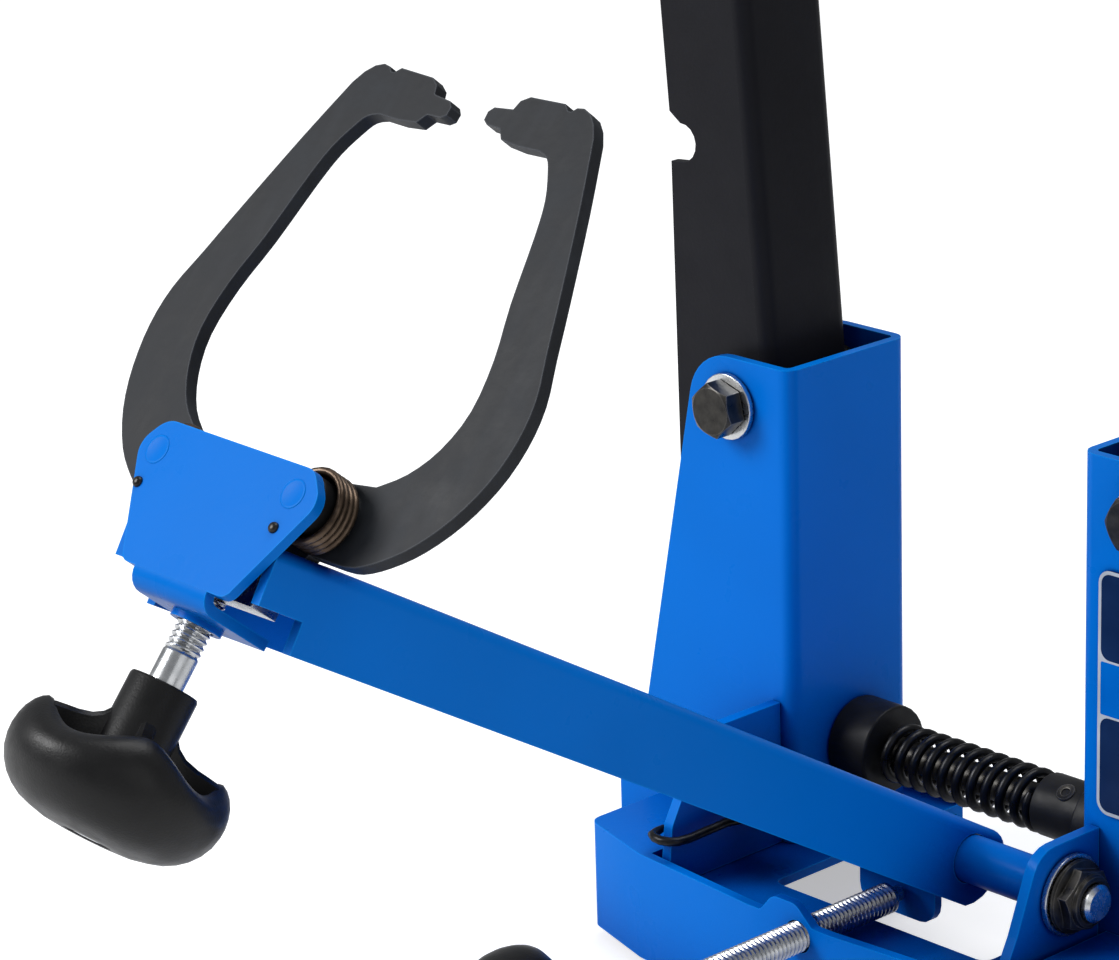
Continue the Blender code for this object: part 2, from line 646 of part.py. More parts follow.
# ---------------------------------------------------------------- caliper arm
def make_arm():
    """Channel open underneath, with a rounded rear end round its pivot tube."""
    front = 0.264
    rear = -0.014
    section = rounded([
        (ARM_HALF, ARM_UNDER, 0), (ARM_HALF, ARM_TOP, 0.003), (-ARM_HALF, ARM_TOP, 0.003),
        (-ARM_HALF, ARM_UNDER, 0), (-ARM_HALF + SHEET, ARM_UNDER, 0),
        (-ARM_HALF + SHEET, ARM_TOP - SHEET, 0.001), (ARM_HALF - SHEET, ARM_TOP - SHEET, 0.001),
        (ARM_HALF - SHEET, ARM_UNDER, 0)])
    place = frame(PIVOT + ARM_ALONG * (front + rear) / 2, (1, 0, 0), ARM_OVER)
    arm = slab("caliper_arm", section, front - rear, place)
    profile = arc((0, 0), 0.0122, 95, 250, 10)
    profile += [(0.2363, ARM_UNDER - 0.001), (0.2363, -0.0040), (0.2493, -0.0040),
                (0.2493, ARM_TOP + 0.002), (0.018, ARM_TOP + 0.002)]
    boolean(arm, slab("arm_profile_tool", profile, 0.06, arm_side(0), cutters), "INTERSECT")
    inside = ARM_HALF - SHEET
    tail_room = box("arm_tail_tool", (-inside, 0.013, -0.0045), (inside, 0.04, 0.03),
                    caliper_plane(0), cutters)
    boolean(arm, tail_room, "DIFFERENCE")
    front_cut = box("arm_front_tool", (-0.04, -0.04, HOUSING_FRONT - SHEET - GAP), (0.04, 0.06, 0.05),
                    caliper_plane(0), cutters)
    boolean(arm, front_cut, "DIFFERENCE")
    foot = PIVOT_Z - 0.0230
    shoulder = PIVOT_Z - 0.0100
    tab = rounded([(-0.015, foot, 0.005), (0.0105, foot, 0.005), (0.0105, shoulder, 0),
                   (inside + 0.001, shoulder, 0), (inside + 0.001, PIVOT_Z - 0.0066, 0),
                   (-inside - 0.001, PIVOT_Z - 0.0066, 0), (-inside - 0.001, shoulder, 0),
                   (-0.015, shoulder, 0)])
    tab_tool = slab("arm_tab_tool", tab, SHEET, facing_y(TAB_FRONT + SHEET / 2), cutters)
    boolean(arm, tab_tool, "UNION", "MANIFOLD")
    tongue = rounded([(0.004, -0.0045, 0), (0.004, 0.0035, 0), (-0.0265, 0.0035, 0.003),
                      (-0.0265, -0.0055, 0.002)])
    tongue_tool = slab("arm_tongue_tool", tongue, SHEET, arm_side(inside - SHEET / 2 + 0.0002), cutters)
    boolean(arm, tongue_tool, "UNION", "MANIFOLD")
    hole = cylinder("arm_pivot_tool", 0.0063, (-0.04, PIVOT_Y, PIVOT_Z), (0.04, PIVOT_Y, PIVOT_Z),
                    24, cutters)
    boolean(arm, hole, "DIFFERENCE")
    return finish(arm, "blue")


def make_pivot_tube():
    end = EAR_IN - GAP
    tube = ring("pivot_tube", PIVOT_BORE, 0.006, (-end, PIVOT_Y, PIVOT_Z), (end, PIVOT_Y, PIVOT_Z), 24)
    return finish(smooth(tube), "blue")


def make_housing():
    """Front plate of the caliper head, bent back below into the wall that holds the screw."""
    front = slab("caliper_housing", rounded([
        (-0.0238, 0.0400, 0.006), (0.0252, 0.0392, 0.005), (0.0310, 0.0328, 0.005),
        (0.0182, 0.0078, 0.003), (-0.0163, 0.0082, 0.003), (-0.0290, 0.0335, 0.005)], 6),
        SHEET, caliper_plane(HOUSING_FRONT - SHEET / 2))
    under = 0.0037
    over = under + SHEET
    back = HOUSING_FRONT - SHEET
    fold = rounded([(HOUSING_FRONT, 0.0120, 0), (HOUSING_FRONT, under, 0.0045), (-0.0072, under, 0),
                    (-0.0072, over, 0), (back, over, 0.0020), (back, 0.0120, 0)], 6)
    fold_tool = slab("housing_fold_tool", fold, 0.0242,
                     frame(SCREW_POINT + Vector((0.0004, 0, 0)), CALIPER_OUT, SCREW_AXIS), cutters)
    boolean(front, fold_tool, "UNION")
    axis = SCREW_POINT + CALIPER_OUT * SCREW_AHEAD
    collar = cylinder("housing_collar_tool", 0.0059, axis + SCREW_AXIS * 0.0022,
                      axis + SCREW_AXIS * 0.0045, 24, cutters)
    boolean(front, collar, "UNION")
    hole = cylinder("housing_hole_tool", THREAD_R + GAP, axis - SCREW_AXIS * 0.01,
                    axis + SCREW_AXIS * 0.01, 24, cutters)
    boolean(front, hole, "DIFFERENCE")
    return finish(front, "blue")


def make_back_plate():
    """Plate behind the calipers that carries the rear ends of their pivot pins."""
    outline = rounded([(-0.030, 0.0252, 0.001), (0.030, 0.0252, 0.001), (0.0295, 0.036, 0.006),
                       (0.0245, 0.0405, 0.004), (-0.0245, 0.0405, 0.004), (-0.0295, 0.036, 0.006)])
    back = -CALIPER_HALF_THICK - GAP
    plate = slab("housing_back_plate", outline, SHEET, caliper_plane(back - SHEET / 2))
    return finish(plate, "blue")


def caliper_outline():
    """One caliper, from its tail round the outside of the bow to the finger and back."""
    cx, cy = CALIPER_PIVOT
    outline = arc((0.0155, 0.0185), 0.003, 150, 330, 6)
    outline += [(0.0212, 0.0245), (0.0295, 0.0244)]
    bow = [(0.0295, 0.0244), (0.0350, 0.0249), (0.0415, 0.0280), (0.0485, 0.0334), (0.0548, 0.0415),
           (0.0590, 0.0510), (0.0608, 0.0610), (0.0600, 0.0705), (0.0564, 0.0805), (0.0522, 0.0925),
           (0.0450, 0.1120), (0.0388, 0.1272)]
    outline += smooth_run(bow, 3)[1:]
    outline += [(0.0368, 0.1302), (0.0345, 0.1322), (0.0320, 0.1331), (0.0300, 0.1328),
                (0.0288, 0.1317), (0.0278, 0.1317), (0.0262, 0.1331), (0.0155, 0.1327),
                (0.0132, 0.1313), (0.0124, 0.1291), (0.0068, 0.1285), (0.0056, 0.1272),
                (0.0057, 0.1252), (0.0072, 0.1243), (0.0115, 0.1242), (0.0134, 0.1219),
                (0.0190, 0.1214), (0.0255, 0.1216)]
    inside = [(0.0255, 0.1216), (0.0288, 0.1205), (0.0312, 0.1175), (0.0345, 0.1115),
              (0.0368, 0.1035), (0.0400, 0.0880), (0.0434, 0.0757), (0.0445, 0.0640),
              (0.0418, 0.0545), (0.0366, 0.0472), (0.0300, 0.0425)]
    outline += smooth_run(inside, 3)[1:]
    outline += [(cx, cy + 0.0085)]
    outline += arc((cx, cy), 0.0085, 110, 180, 4)
    return outline


def smooth_run(points, steps):
    """Catmull-Rom run through the points."""
    padded = [points[0]] + list(points) + [points[-1]]
    run = []
    for i in range(1, len(padded) - 2):
        before, start, end, after = [Vector(p) for p in padded[i - 1:i + 3]]
        for k in range(steps):
            t = k / steps
            run.append(0.5 * (2 * start + (end - before) * t
                              + (2 * before - 5 * start + 4 * end - after) * t * t
                              + (3 * start - before - 3 * end + after) * t ** 3))
    run.append(Vector(points[-1]))
    return run


def skewed(side, x, y):
    """Swing a point of the caliper's bow about its pivot; the tail stays on the wedge."""
    centre_x = side * CALIPER_PIVOT[0]
    lift = y - CALIPER_PIVOT[1]
    share = min(max(lift / 0.02, 0.0), 1.0)
    angle = CALIPER_SKEW * share
    turned_x = centre_x + (x - centre_x) * cos(angle) + lift * sin(angle)
    turned_y = CALIPER_PIVOT[1] + lift * cos(angle) - (x - centre_x) * sin(angle)
    return turned_x, turned_y


def make_caliper(side, name, empty):
    outline = [skewed(side, side * point[0], point[1]) for point in caliper_outline()]
    caliper = slab(name, outline, 2 * CALIPER_HALF_THICK, caliper_plane(0))
    pin = caliper_plane(0) @ Vector((side * CALIPER_PIVOT[0], CALIPER_PIVOT[1], 0))
    hole = cylinder(name + "_pin_hole", PIN_BORE, pin - CALIPER_OUT * 0.01, pin + CALIPER_OUT * 0.01,
                    20, cutters)
    boolean(caliper, hole, "DIFFERENCE")
    ride(empty, finish(caliper, "black"))


def make_caliper_pivot(side, name):
    """Pin, bush and torsion spring between the front plate and a caliper."""
    pin = caliper_plane(0) @ Vector((side * CALIPER_PIVOT[0], CALIPER_PIVOT[1], 0))
    plate_in = HOUSING_FRONT - SHEET - GAP
    face = CALIPER_HALF_THICK + GAP
    rivet = cylinder("caliper_pin_" + name, PIN_R, pin - CALIPER_OUT * CALIPER_HALF_THICK,
                     pin + CALIPER_OUT * plate_in, 20)
    bush = ring("caliper_bush_" + name, PIN_BORE, 0.0062, pin + CALIPER_OUT * face,
                pin + CALIPER_OUT * plate_in, 24)
    start = pin + CALIPER_OUT * (face + 0.0012)
    points = coil(start, CALIPER_OUT, CALIPER_COIL_R, plate_in - face - 0.0024, 4, 10, pi / 2)
    spring = wire("torsion_spring_" + name, points, CALIPER_WIRE)
    finish(smooth(rivet), "zinc")
    finish(smooth(bush), "black")
    finish(smooth(spring), "bronze")
    return rivet, bush, spring


def make_wedge():
    """Sliding wedge that the screw pushes up between the calipers' tails."""
    outline = [(-0.0150, 0.0098), (0.0150, 0.0098), (0.0150, 0.0125), (0.0088, 0.0224),
               (-0.0088, 0.0224), (-0.0150, 0.0125)]
    return finish(slab("caliper_wedge", outline, 0.008, caliper_plane(0)), "zinc")


def knob_profile():
    """Domed hand knob, from the middle of its face to its hollow back."""
    return [(0.0, 0.0), (0.0105, 0.0003), (0.0168, 0.0020), (0.0212, 0.0052), (0.0240, 0.0093),
            (KNOB_R, 0.0137), (0.0243, 0.0182), (0.0225, 0.0216), (0.0205, 0.0228),
            (0.0185, 0.0218), (0.0165, 0.0150), (0.0086, 0.0140), (0.0078, 0.0356),
            (THREAD_R + GAP, 0.0356), (THREAD_R + GAP, KNOB_BORE), (0.0, KNOB_BORE)]


def make_knob(name, face, axis):
    """Knob whose face is at this point and whose back looks along the axis."""
    knob = turned(name, list(reversed(knob_profile())), turned_frame(face, axis), 28)
    return finish(smooth(knob, 50), "plastic")


def make_caliper_screw(wedge_empty, screw_empty, wedge):
    centre = SCREW_POINT + CALIPER_OUT * SCREW_AHEAD
    top = centre + SCREW_AXIS * (0.0098 - GAP)
    face = centre - SCREW_AXIS * CALIPER_KNOB_REACH
    stud = cylinder("caliper_stud", THREAD_R, face + SCREW_AXIS * (KNOB_BORE + GAP), top, 20)
    knob = make_knob("caliper_knob", face, SCREW_AXIS)
    ride(wedge_empty, wedge)
    ride(screw_empty, finish(smooth(stud), "zinc"), knob)


def make_height_screw(stud_empty):
    tip = TAB_FRONT - 0.0008
    long = tip - HEIGHT_KNOB_Y - KNOB_BORE - GAP
    profile = [(0.0, 0.0), (0.0012, 0.0003), (0.002, 0.0012), (0.002, 0.003), (THREAD_R, 0.0045),
               (THREAD_R, long), (0.0, long)]
    place = turned_frame((0, tip, STUD_Z), (0, -1, 0))
    stud = turned("height_stud", list(reversed(profile)), place, 20)
    knob = make_knob("height_knob", (0, HEIGHT_KNOB_Y, STUD_Z), (0, 1, 0))
    ride(stud_empty, finish(smooth(stud), "zinc"), knob)


def make_arm_spring():
    """Torsion spring round the pivot tube, hooked over the left ear's front edge."""
    steps = 50
    points = []
    for i in range(steps + 1):
        angle = 2 * pi * 5 * i / steps
        points.append((-0.0470 + 0.020 * i / steps, PIVOT_Y + ARM_SPRING_R * sin(angle),
                       PIVOT_Z - ARM_SPRING_R * cos(angle)))
    hook_z = ROD_Z - 0.0095
    inside = -0.0478
    outside = -EAR_IN - EAR_SHEET - 0.0020
    ahead = -0.0658
    hook = [(outside, ahead + 0.005, hook_z), (outside, ahead + 0.001, hook_z),
            (outside + 0.001, ahead, hook_z), (inside - 0.001, ahead, hook_z),
            (inside, ahead + 0.002, hook_z), (inside, PIVOT_Y - 0.010, hook_z + 0.001)]
    return finish(smooth(wire("arm_spring", hook + points, ARM_SPRING_WIRE)), "spring")


# ---------------------------------------------------------------- assembly
left_hinge = joint("left_upright_hinge", (-HINGE_X, 0, HINGE_Z))
right_hinge = joint("right_upright_hinge", (HINGE_X, 0, HINGE_Z))
rod_axis = joint("rod_axis", (0, ROD_Y, ROD_Z))
arm_pivot = joint("arm_pivot", PIVOT)
stud_slide = joint("height_stud_axis", (0, BASE_FRONT, STUD_Z))
left_caliper_pin = caliper_plane(0) @ Vector((-CALIPER_PIVOT[0], CALIPER_PIVOT[1], 0))
right_caliper_pin = caliper_plane(0) @ Vector((CALIPER_PIVOT[0], CALIPER_PIVOT[1], 0))
left_caliper_joint = joint("left_caliper_hinge", left_caliper_pin)
right_caliper_joint = joint("right_caliper_hinge", right_caliper_pin)
wedge_slide = joint("wedge_slide", SCREW_POINT)
screw_axis = joint("caliper_screw_axis", SCREW_POINT + CALIPER_OUT * SCREW_AHEAD)

make_base()
make_bracket(-1, "left_bracket")
make_bracket(1, "right_bracket")
make_ear(-1, "left_ear")
make_ear(1, "right_ear")
make_feet()
make_label()
make_hinge_bolt(-1, "left_hinge")
make_hinge_bolt(1, "right_hinge")
make_pivot_bolt()
make_upright(-1, "left_upright", left_hinge)
make_upright(1, "right_upright", right_hinge)
make_cross_nut(-1, "left_cross_nut", left_hinge)
make_cross_nut(1, "right_cross_nut", right_hinge)
make_rod(rod_axis)
make_rod_bushes()
ride(arm_pivot, make_arm(), make_pivot_tube(), make_housing(), make_back_plate())
make_caliper(-1, "left_caliper", left_caliper_joint)
make_caliper(1, "right_caliper", right_caliper_joint)
ride(arm_pivot, *make_caliper_pivot(-1, "left"))
ride(arm_pivot, *make_caliper_pivot(1, "right"))
make_caliper_screw(wedge_slide, screw_axis, make_wedge())
make_height_screw(stud_slide)
make_arm_spring()
for child in (left_caliper_joint, right_caliper_joint, wedge_slide):
    ride(arm_pivot, child)
ride(wedge_slide, screw_axis)

# The origin moves from midway between the uprights to the middle of the stand's box, on the bench.
for placed in bpy.data.objects:
    if placed.parent is None:
        placed.location -= Vector((*STAND_MIDDLE, 0))
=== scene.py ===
"""Looks of the wheel truing stand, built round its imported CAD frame."""
import json
from math import atan2, cos, pi, radians, sin

import bmesh
import bpy
from mathutils import Matrix, Vector


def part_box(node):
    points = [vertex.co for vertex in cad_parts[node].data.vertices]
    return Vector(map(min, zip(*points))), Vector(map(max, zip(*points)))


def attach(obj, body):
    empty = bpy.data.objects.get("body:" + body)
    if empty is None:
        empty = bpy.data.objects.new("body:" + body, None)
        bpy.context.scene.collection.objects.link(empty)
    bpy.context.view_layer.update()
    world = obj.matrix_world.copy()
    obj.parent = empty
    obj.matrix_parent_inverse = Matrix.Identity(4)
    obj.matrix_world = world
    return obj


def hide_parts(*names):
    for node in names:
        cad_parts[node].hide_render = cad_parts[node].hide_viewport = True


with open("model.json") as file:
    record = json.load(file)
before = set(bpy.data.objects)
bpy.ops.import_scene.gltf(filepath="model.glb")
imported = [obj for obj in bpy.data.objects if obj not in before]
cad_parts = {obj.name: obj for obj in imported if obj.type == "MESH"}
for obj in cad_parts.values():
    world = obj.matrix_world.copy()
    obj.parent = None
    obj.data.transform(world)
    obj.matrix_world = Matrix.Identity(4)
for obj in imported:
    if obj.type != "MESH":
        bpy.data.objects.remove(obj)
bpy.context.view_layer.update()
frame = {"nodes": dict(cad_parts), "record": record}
NODES = frame["nodes"]
GAP = 0.0003                   # clearance between neighbouring pieces
EDGE_ANGLE = radians(32)       # edges sharper than this get a small real radius
BLUE_GLOSS = 0.05
BLACK_GLOSS = 0.12


# ---------------------------------------------------------------- materials
class Shader:
    """Small helper that wires a Principled material out of procedural nodes."""

    def __init__(self, name):
        self.material = bpy.data.materials.new(name)
        self.material.use_nodes = True
        self.nodes = self.material.node_tree.nodes
        self.links = self.material.node_tree.links
        self.principled = self.nodes["Principled BSDF"]
        self.coordinates = self.nodes.new("ShaderNodeTexCoord").outputs["Object"]

    def set(self, **values):
        """Set or link the Principled inputs, named with underscores for their spaces."""
        for key, value in values.items():
            socket = self.principled.inputs[key.replace("_", " ")]
            if hasattr(value, "links") or hasattr(value, "is_linked"):
                self.links.new(value, socket)
            else:
                socket.default_value = value
        return self

    def noise(self, scale, detail=3.0, stretch=(1, 1, 1), roughness=0.5):
        """Cloudy pattern of a scale, which a stretch below 1 draws out along an axis."""
        mapping = self.nodes.new("ShaderNodeMapping")
        mapping.inputs["Scale"].default_value = stretch
        self.links.new(self.coordinates, mapping.inputs["Vector"])
        node = self.nodes.new("ShaderNodeTexNoise")
        node.inputs["Scale"].default_value = scale
        node.inputs["Detail"].default_value = detail
        node.inputs["Roughness"].default_value = roughness
        self.links.new(mapping.outputs["Vector"], node.inputs["Vector"])
        return node.outputs["Fac"]

    def ramp(self, value, *stops):
        """Colours along a value, each stop a position and a colour."""
        node = self.nodes.new("ShaderNodeValToRGB")
        ramp = node.color_ramp
        while len(ramp.elements) < len(stops):
            ramp.elements.new(0.5)
        for element, (position, colour) in zip(ramp.elements, stops):
            element.position = position
            element.color = (*colour, 1)
        self.links.new(value, node.inputs["Fac"])
        return node.outputs["Color"]

    def range(self, value, low, high, start=0.3, end=0.7):
        """Stretch a value from start..end to low..high."""
        node = self.nodes.new("ShaderNodeMapRange")
        self.links.new(value, node.inputs["Value"])
        for key, number in (("From Min", start), ("From Max", end), ("To Min", low), ("To Max", high)):
            node.inputs[key].default_value = number
        return node.outputs["Result"]

    def mix(self, factor, first, second):
        """Blend two colours, given as values or as other nodes' outputs."""
        node = self.nodes.new("ShaderNodeMix")
        node.data_type = "RGBA"
        for socket, value in ((node.inputs[0], factor), (node.inputs[6], first), (node.inputs[7], second)):
            if hasattr(value, "is_linked"):
                self.links.new(value, socket)
            elif isinstance(value, tuple):
                socket.default_value = (*value, 1)
            else:
                socket.default_value = value
        return node.outputs[2]

    def math(self, operation, first, second):
        node = self.nodes.new("ShaderNodeMath")
        node.operation = operation
        for socket, value in zip(node.inputs, (first, second)):
            if hasattr(value, "is_linked"):
                self.links.new(value, socket)
            else:
                socket.default_value = value
        return node.outputs[0]

    def edges(self, radius):
        """1 on sharp outer and inner edges, 0 on flats; the materials use it to paint highlights along edges.
        """
        bevel = self.nodes.new("ShaderNodeBevel")
        bevel.samples = 4
        bevel.inputs["Radius"].default_value = radius
        geometry = self.nodes.new("ShaderNodeNewGeometry")
        dot = self.nodes.new("ShaderNodeVectorMath")
        dot.operation = "DOT_PRODUCT"
        self.links.new(bevel.outputs["Normal"], dot.inputs[0])
        self.links.new(geometry.outputs["Normal"], dot.inputs[1])
        return self.range(dot.outputs["Value"], 1.0, 0.0, 0.86, 0.995)

    def occlusion_shade(self, distance):
        """Near 1 in the open, falling towards 0 inside channels and corners; the materials use it to paint
        shade into recesses.
        """
        node = self.nodes.new("ShaderNodeAmbientOcclusion")
        node.samples = 6
        node.inputs["Distance"].default_value = distance
        return node.outputs["AO"]

    def bump(self, height, strength, distance=0.0002):
        node = self.nodes.new("ShaderNodeBump")
        node.inputs["Strength"].default_value = strength
        node.inputs["Distance"].default_value = distance
        self.links.new(height, node.inputs["Height"])
        self.links.new(node.outputs["Normal"], self.principled.inputs["Normal"])
        return self


def blue_enamel():
    """Blue powder coat: faint orange peel, a painted highlight paler along the sharp edges, and painted shade
    darkening the blue in recesses.
    """
    shader = Shader("blue_enamel")
    drift = shader.noise(14, 2)
    colour = shader.ramp(drift, (0.3, (0.0, 0.165, 0.66)), (0.7, (0.0, 0.185, 0.74)))
    # painted shade: ambient occlusion darkens the blue towards navy in recesses and under other parts
    deep = shader.range(shader.occlusion_shade(0.035), 1.0, 0.0, 0.25, 0.85)
    colour = shader.mix(deep, colour, (0.0, 0.022, 0.24))
    # painted highlight: paler blue along the sharp edges
    colour = shader.mix(shader.math("MULTIPLY", shader.edges(0.0007), 0.45), colour, (0.0, 0.34, 0.95))
    peel = shader.noise(620, 2)
    shader.set(Base_Color=colour, Roughness=shader.range(shader.noise(90, 3), 0.26, 0.36),
               Specular_IOR_Level=BLUE_GLOSS)
    return shader.bump(peel, 0.12).material


def black_enamel():
    """Satin black powder coat on the uprights."""
    shader = Shader("black_enamel")
    colour = shader.ramp(shader.noise(22, 3), (0.3, (0.0075, 0.0076, 0.0105)),
                         (0.7, (0.0110, 0.0112, 0.0150)))
    # painted highlight: paler grey along the sharp edges
    colour = shader.mix(shader.math("MULTIPLY", shader.edges(0.0006), 0.5), colour, (0.035, 0.036, 0.043))
    shader.set(Base_Color=colour, Roughness=shader.range(shader.noise(120, 3), 0.40, 0.52),
               Specular_IOR_Level=BLACK_GLOSS)
    return shader.bump(shader.noise(900, 2), 0.20).material


def forged_black():
    """Black oxide on forged calipers: cloudy blue-grey flats, and a painted highlight paler along the sharp
    edges.
    """
    shader = Shader("forged_black")
    clouds = shader.noise(70, 6, roughness=0.65)
    colour = shader.ramp(clouds, (0.28, (0.0085, 0.0098, 0.0125)), (0.55, (0.0155, 0.0175, 0.0215)),
                         (0.80, (0.028, 0.032, 0.038)))
    streaks = shader.noise(150, 4, (1, 0.25, 0.25))
    colour = shader.mix(shader.range(streaks, 0.0, 0.35, 0.50, 0.8), colour, (0.036, 0.041, 0.050))
    # painted highlight: paler blue-grey along the sharp edges
    colour = shader.mix(shader.math("MULTIPLY", shader.edges(0.0006), 0.6), colour, (0.11, 0.12, 0.14))
    shader.set(Base_Color=colour, Roughness=shader.range(clouds, 0.40, 0.58), Specular_IOR_Level=0.2)
    return shader.bump(shader.noise(420, 4), 0.22).material


def bush_black():
    """Turned black bushes with faint lines round them."""
    shader = Shader("bush_black")
    colour = shader.ramp(shader.noise(120, 4), (0.3, (0.007, 0.007, 0.008)), (0.7, (0.014, 0.014, 0.015)))
    shader.set(Base_Color=colour, Roughness=shader.range(shader.noise(260, 3), 0.34, 0.50),
               Specular_IOR_Level=0.16)
    return shader.bump(shader.noise(700, 2, (0.2, 1, 1)), 0.12).material


def zinc_plate():
    """Bright zinc plate with cloudy passivation and a fine bump."""
    shader = Shader("zinc_plate")
    clouds = shader.noise(130, 4)
    colour = shader.ramp(clouds, (0.3, (0.50, 0.52, 0.54)), (0.7, (0.74, 0.75, 0.76)))
    # painted shade: darker grey in thread grooves and other recesses
    colour = shader.mix(shader.range(shader.occlusion_shade(0.0016), 0.75, 0.0, 0.2, 0.8), colour, (0.12, 0.12, 0.13))
    shader.set(Base_Color=colour, Metallic=1.0, Roughness=shader.range(shader.noise(420, 4), 0.20, 0.34))
    return shader.bump(shader.noise(1500, 2), 0.10).material


def black_oxide():
    """Blackened fasteners, with a painted highlight in grey on their sharp corners."""
    shader = Shader("black_oxide")
    clouds = shader.noise(260, 5, roughness=0.6)
    colour = shader.ramp(clouds, (0.3, (0.018, 0.017, 0.016)), (0.75, (0.060, 0.056, 0.050)))
    # painted highlight: grey on the sharp corners
    colour = shader.mix(shader.math("MULTIPLY", shader.edges(0.0005), 0.8), colour, (0.20, 0.19, 0.175))
    shader.set(Base_Color=colour, Metallic=0.75, Roughness=shader.range(clouds, 0.26, 0.46))
    return shader.bump(shader.noise(800, 3), 0.2).material


def spring_wire(name, dark, light):
    """Oil-finished spring wire, with painted shade darkening it between its turns."""
    shader = Shader(name)
    colour = shader.ramp(shader.noise(300, 4), (0.3, dark), (0.75, light))
    # painted shade: ambient occlusion darkens the wire between its turns
    shade = shader.range(shader.occlusion_shade(0.002), 0.6, 0.0, 0.15, 0.7)
    colour = shader.mix(shade, colour, (0.004, 0.004, 0.004))
    shader.set(Base_Color=colour, Metallic=0.8, Roughness=shader.range(shader.noise(500, 3), 0.26, 0.42))
    return shader.bump(shader.noise(1400, 2), 0.10).material


def knob_plastic():
    """Black moulded plastic with a fine spark-eroded grain."""
    shader = Shader("knob_plastic")
    colour = shader.ramp(shader.noise(60, 3), (0.3, (0.0050, 0.0050, 0.0054)), (0.7, (0.0085, 0.0085, 0.009)))
    # painted highlight: paler grey along the sharp edges
    colour = shader.mix(shader.math("MULTIPLY", shader.edges(0.0005), 0.35), colour, (0.04, 0.04, 0.043))
    shader.set(Base_Color=colour, Roughness=shader.range(shader.noise(200, 3), 0.34, 0.46),
               Specular_IOR_Level=0.3)
    return shader.bump(shader.noise(1900, 2), 0.24).material


def nylon():
    """Dull insert of the lock nut."""
    shader = Shader("nylon")
    colour = shader.ramp(shader.noise(200, 3), (0.3, (0.012, 0.012, 0.012)), (0.7, (0.022, 0.022, 0.022)))
    shader.set(Base_Color=colour, Roughness=shader.range(shader.noise(300, 3), 0.42, 0.6))
    return shader.bump(shader.noise(1200, 2), 0.15).material


def rubber():
    """Matt, dusty rubber of the feet."""
    shader = Shader("rubber_black")
    colour = shader.ramp(shader.noise(150, 5), (0.3, (0.010, 0.010, 0.010)), (0.7, (0.022, 0.021, 0.020)))
    shader.set(Base_Color=colour, Roughness=shader.range(shader.noise(320, 4), 0.70, 0.92))
    return shader.bump(shader.noise(1100, 4), 0.4).material


def print_ink(name, dark, light):
    """Screen-printed film with a satin face."""
    shader = Shader(name)
    colour = shader.ramp(shader.noise(90, 3), (0.3, dark), (0.7, light))
    shader.set(Base_Color=colour, Roughness=shader.range(shader.noise(160, 2), 0.18, 0.26),
               Specular_IOR_Level=0.12)
    return shader.bump(shader.noise(500, 2), 0.05).material


BLUE = blue_enamel()
BLACK = black_enamel()
FORGED = forged_black()
BUSH = bush_black()
ZINC = zinc_plate()
OXIDE = black_oxide()
SPRING_BLACK = spring_wire("spring_black", (0.010, 0.010, 0.011), (0.030, 0.030, 0.032))
SPRING_BROWN = spring_wire("spring_brown", (0.055, 0.036, 0.024), (0.19, 0.135, 0.095))
PLASTIC = knob_plastic()
NYLON = nylon()
RUBBER = rubber()
NAVY = print_ink("label_navy", (0.006, 0.020, 0.075), (0.010, 0.030, 0.10))
BAND = print_ink("label_band", (0.0, 0.14, 0.60), (0.0, 0.17, 0.68))
SILVER = print_ink("label_border", (0.46, 0.50, 0.56), (0.62, 0.66, 0.72))

FINISHES = {
    "blue_enamel": BLUE, "black_enamel": BLACK, "zinc_plate": ZINC, "black_oxide": OXIDE,
    "spring_black": SPRING_BLACK, "spring_brown": SPRING_BROWN, "knob_plastic": PLASTIC,
    "rubber_black": RUBBER, "label_navy": NAVY,
}
SPECIAL = {
    "left_caliper": FORGED, "right_caliper": FORGED, "rod_bush_left": BUSH, "rod_bush_right": BUSH,
    "rod_collar": BUSH, "caliper_bush_left": BUSH, "caliper_bush_right": BUSH,
}
EDGE_WIDTH = {
    "base_frame": 0.0006, "left_bracket": 0.0006, "right_bracket": 0.0006, "left_ear": 0.0007,
    "right_ear": 0.0007, "left_upright": 0.0004, "right_upright": 0.0004, "caliper_arm": 0.0005,
    "caliper_housing": 0.0006, "housing_back_plate": 0.0006, "left_caliper": 0.0008,
    "right_caliper": 0.0008, "rod_bush_left": 0.0007, "rod_bush_right": 0.0006, "rod_collar": 0.0004,
}


def paint(obj, material):
    obj.data.materials.clear()
    obj.data.materials.append(material)
    return obj


def dress_cad_nodes():
    """Give every CAD node its finish, and a small real radius on its sharp edges."""
    slots = {row["node"]: row["material_slot"] for row in frame["record"]["subparts"]}
    for name, obj in NODES.items():
        paint(obj, SPECIAL.get(name) or FINISHES[slots[name]])
        weld = obj.modifiers.new("Weld", "WELD")
        weld.merge_threshold = 0.00001
        bevel = obj.modifiers.new("Edges", "BEVEL")
        bevel.width = EDGE_WIDTH.get(name, GAP)
        bevel.segments = 2
        bevel.limit_method = "ANGLE"
        bevel.angle_limit = EDGE_ANGLE
        for polygon in obj.data.polygons:
            polygon.use_smooth = True
        obj.data.set_sharp_from_angle(angle=radians(40))
        even = obj.modifiers.new("Even", "WEIGHTED_NORMAL")
        even.keep_sharp = True
        even.weight = 90


dress_cad_nodes()


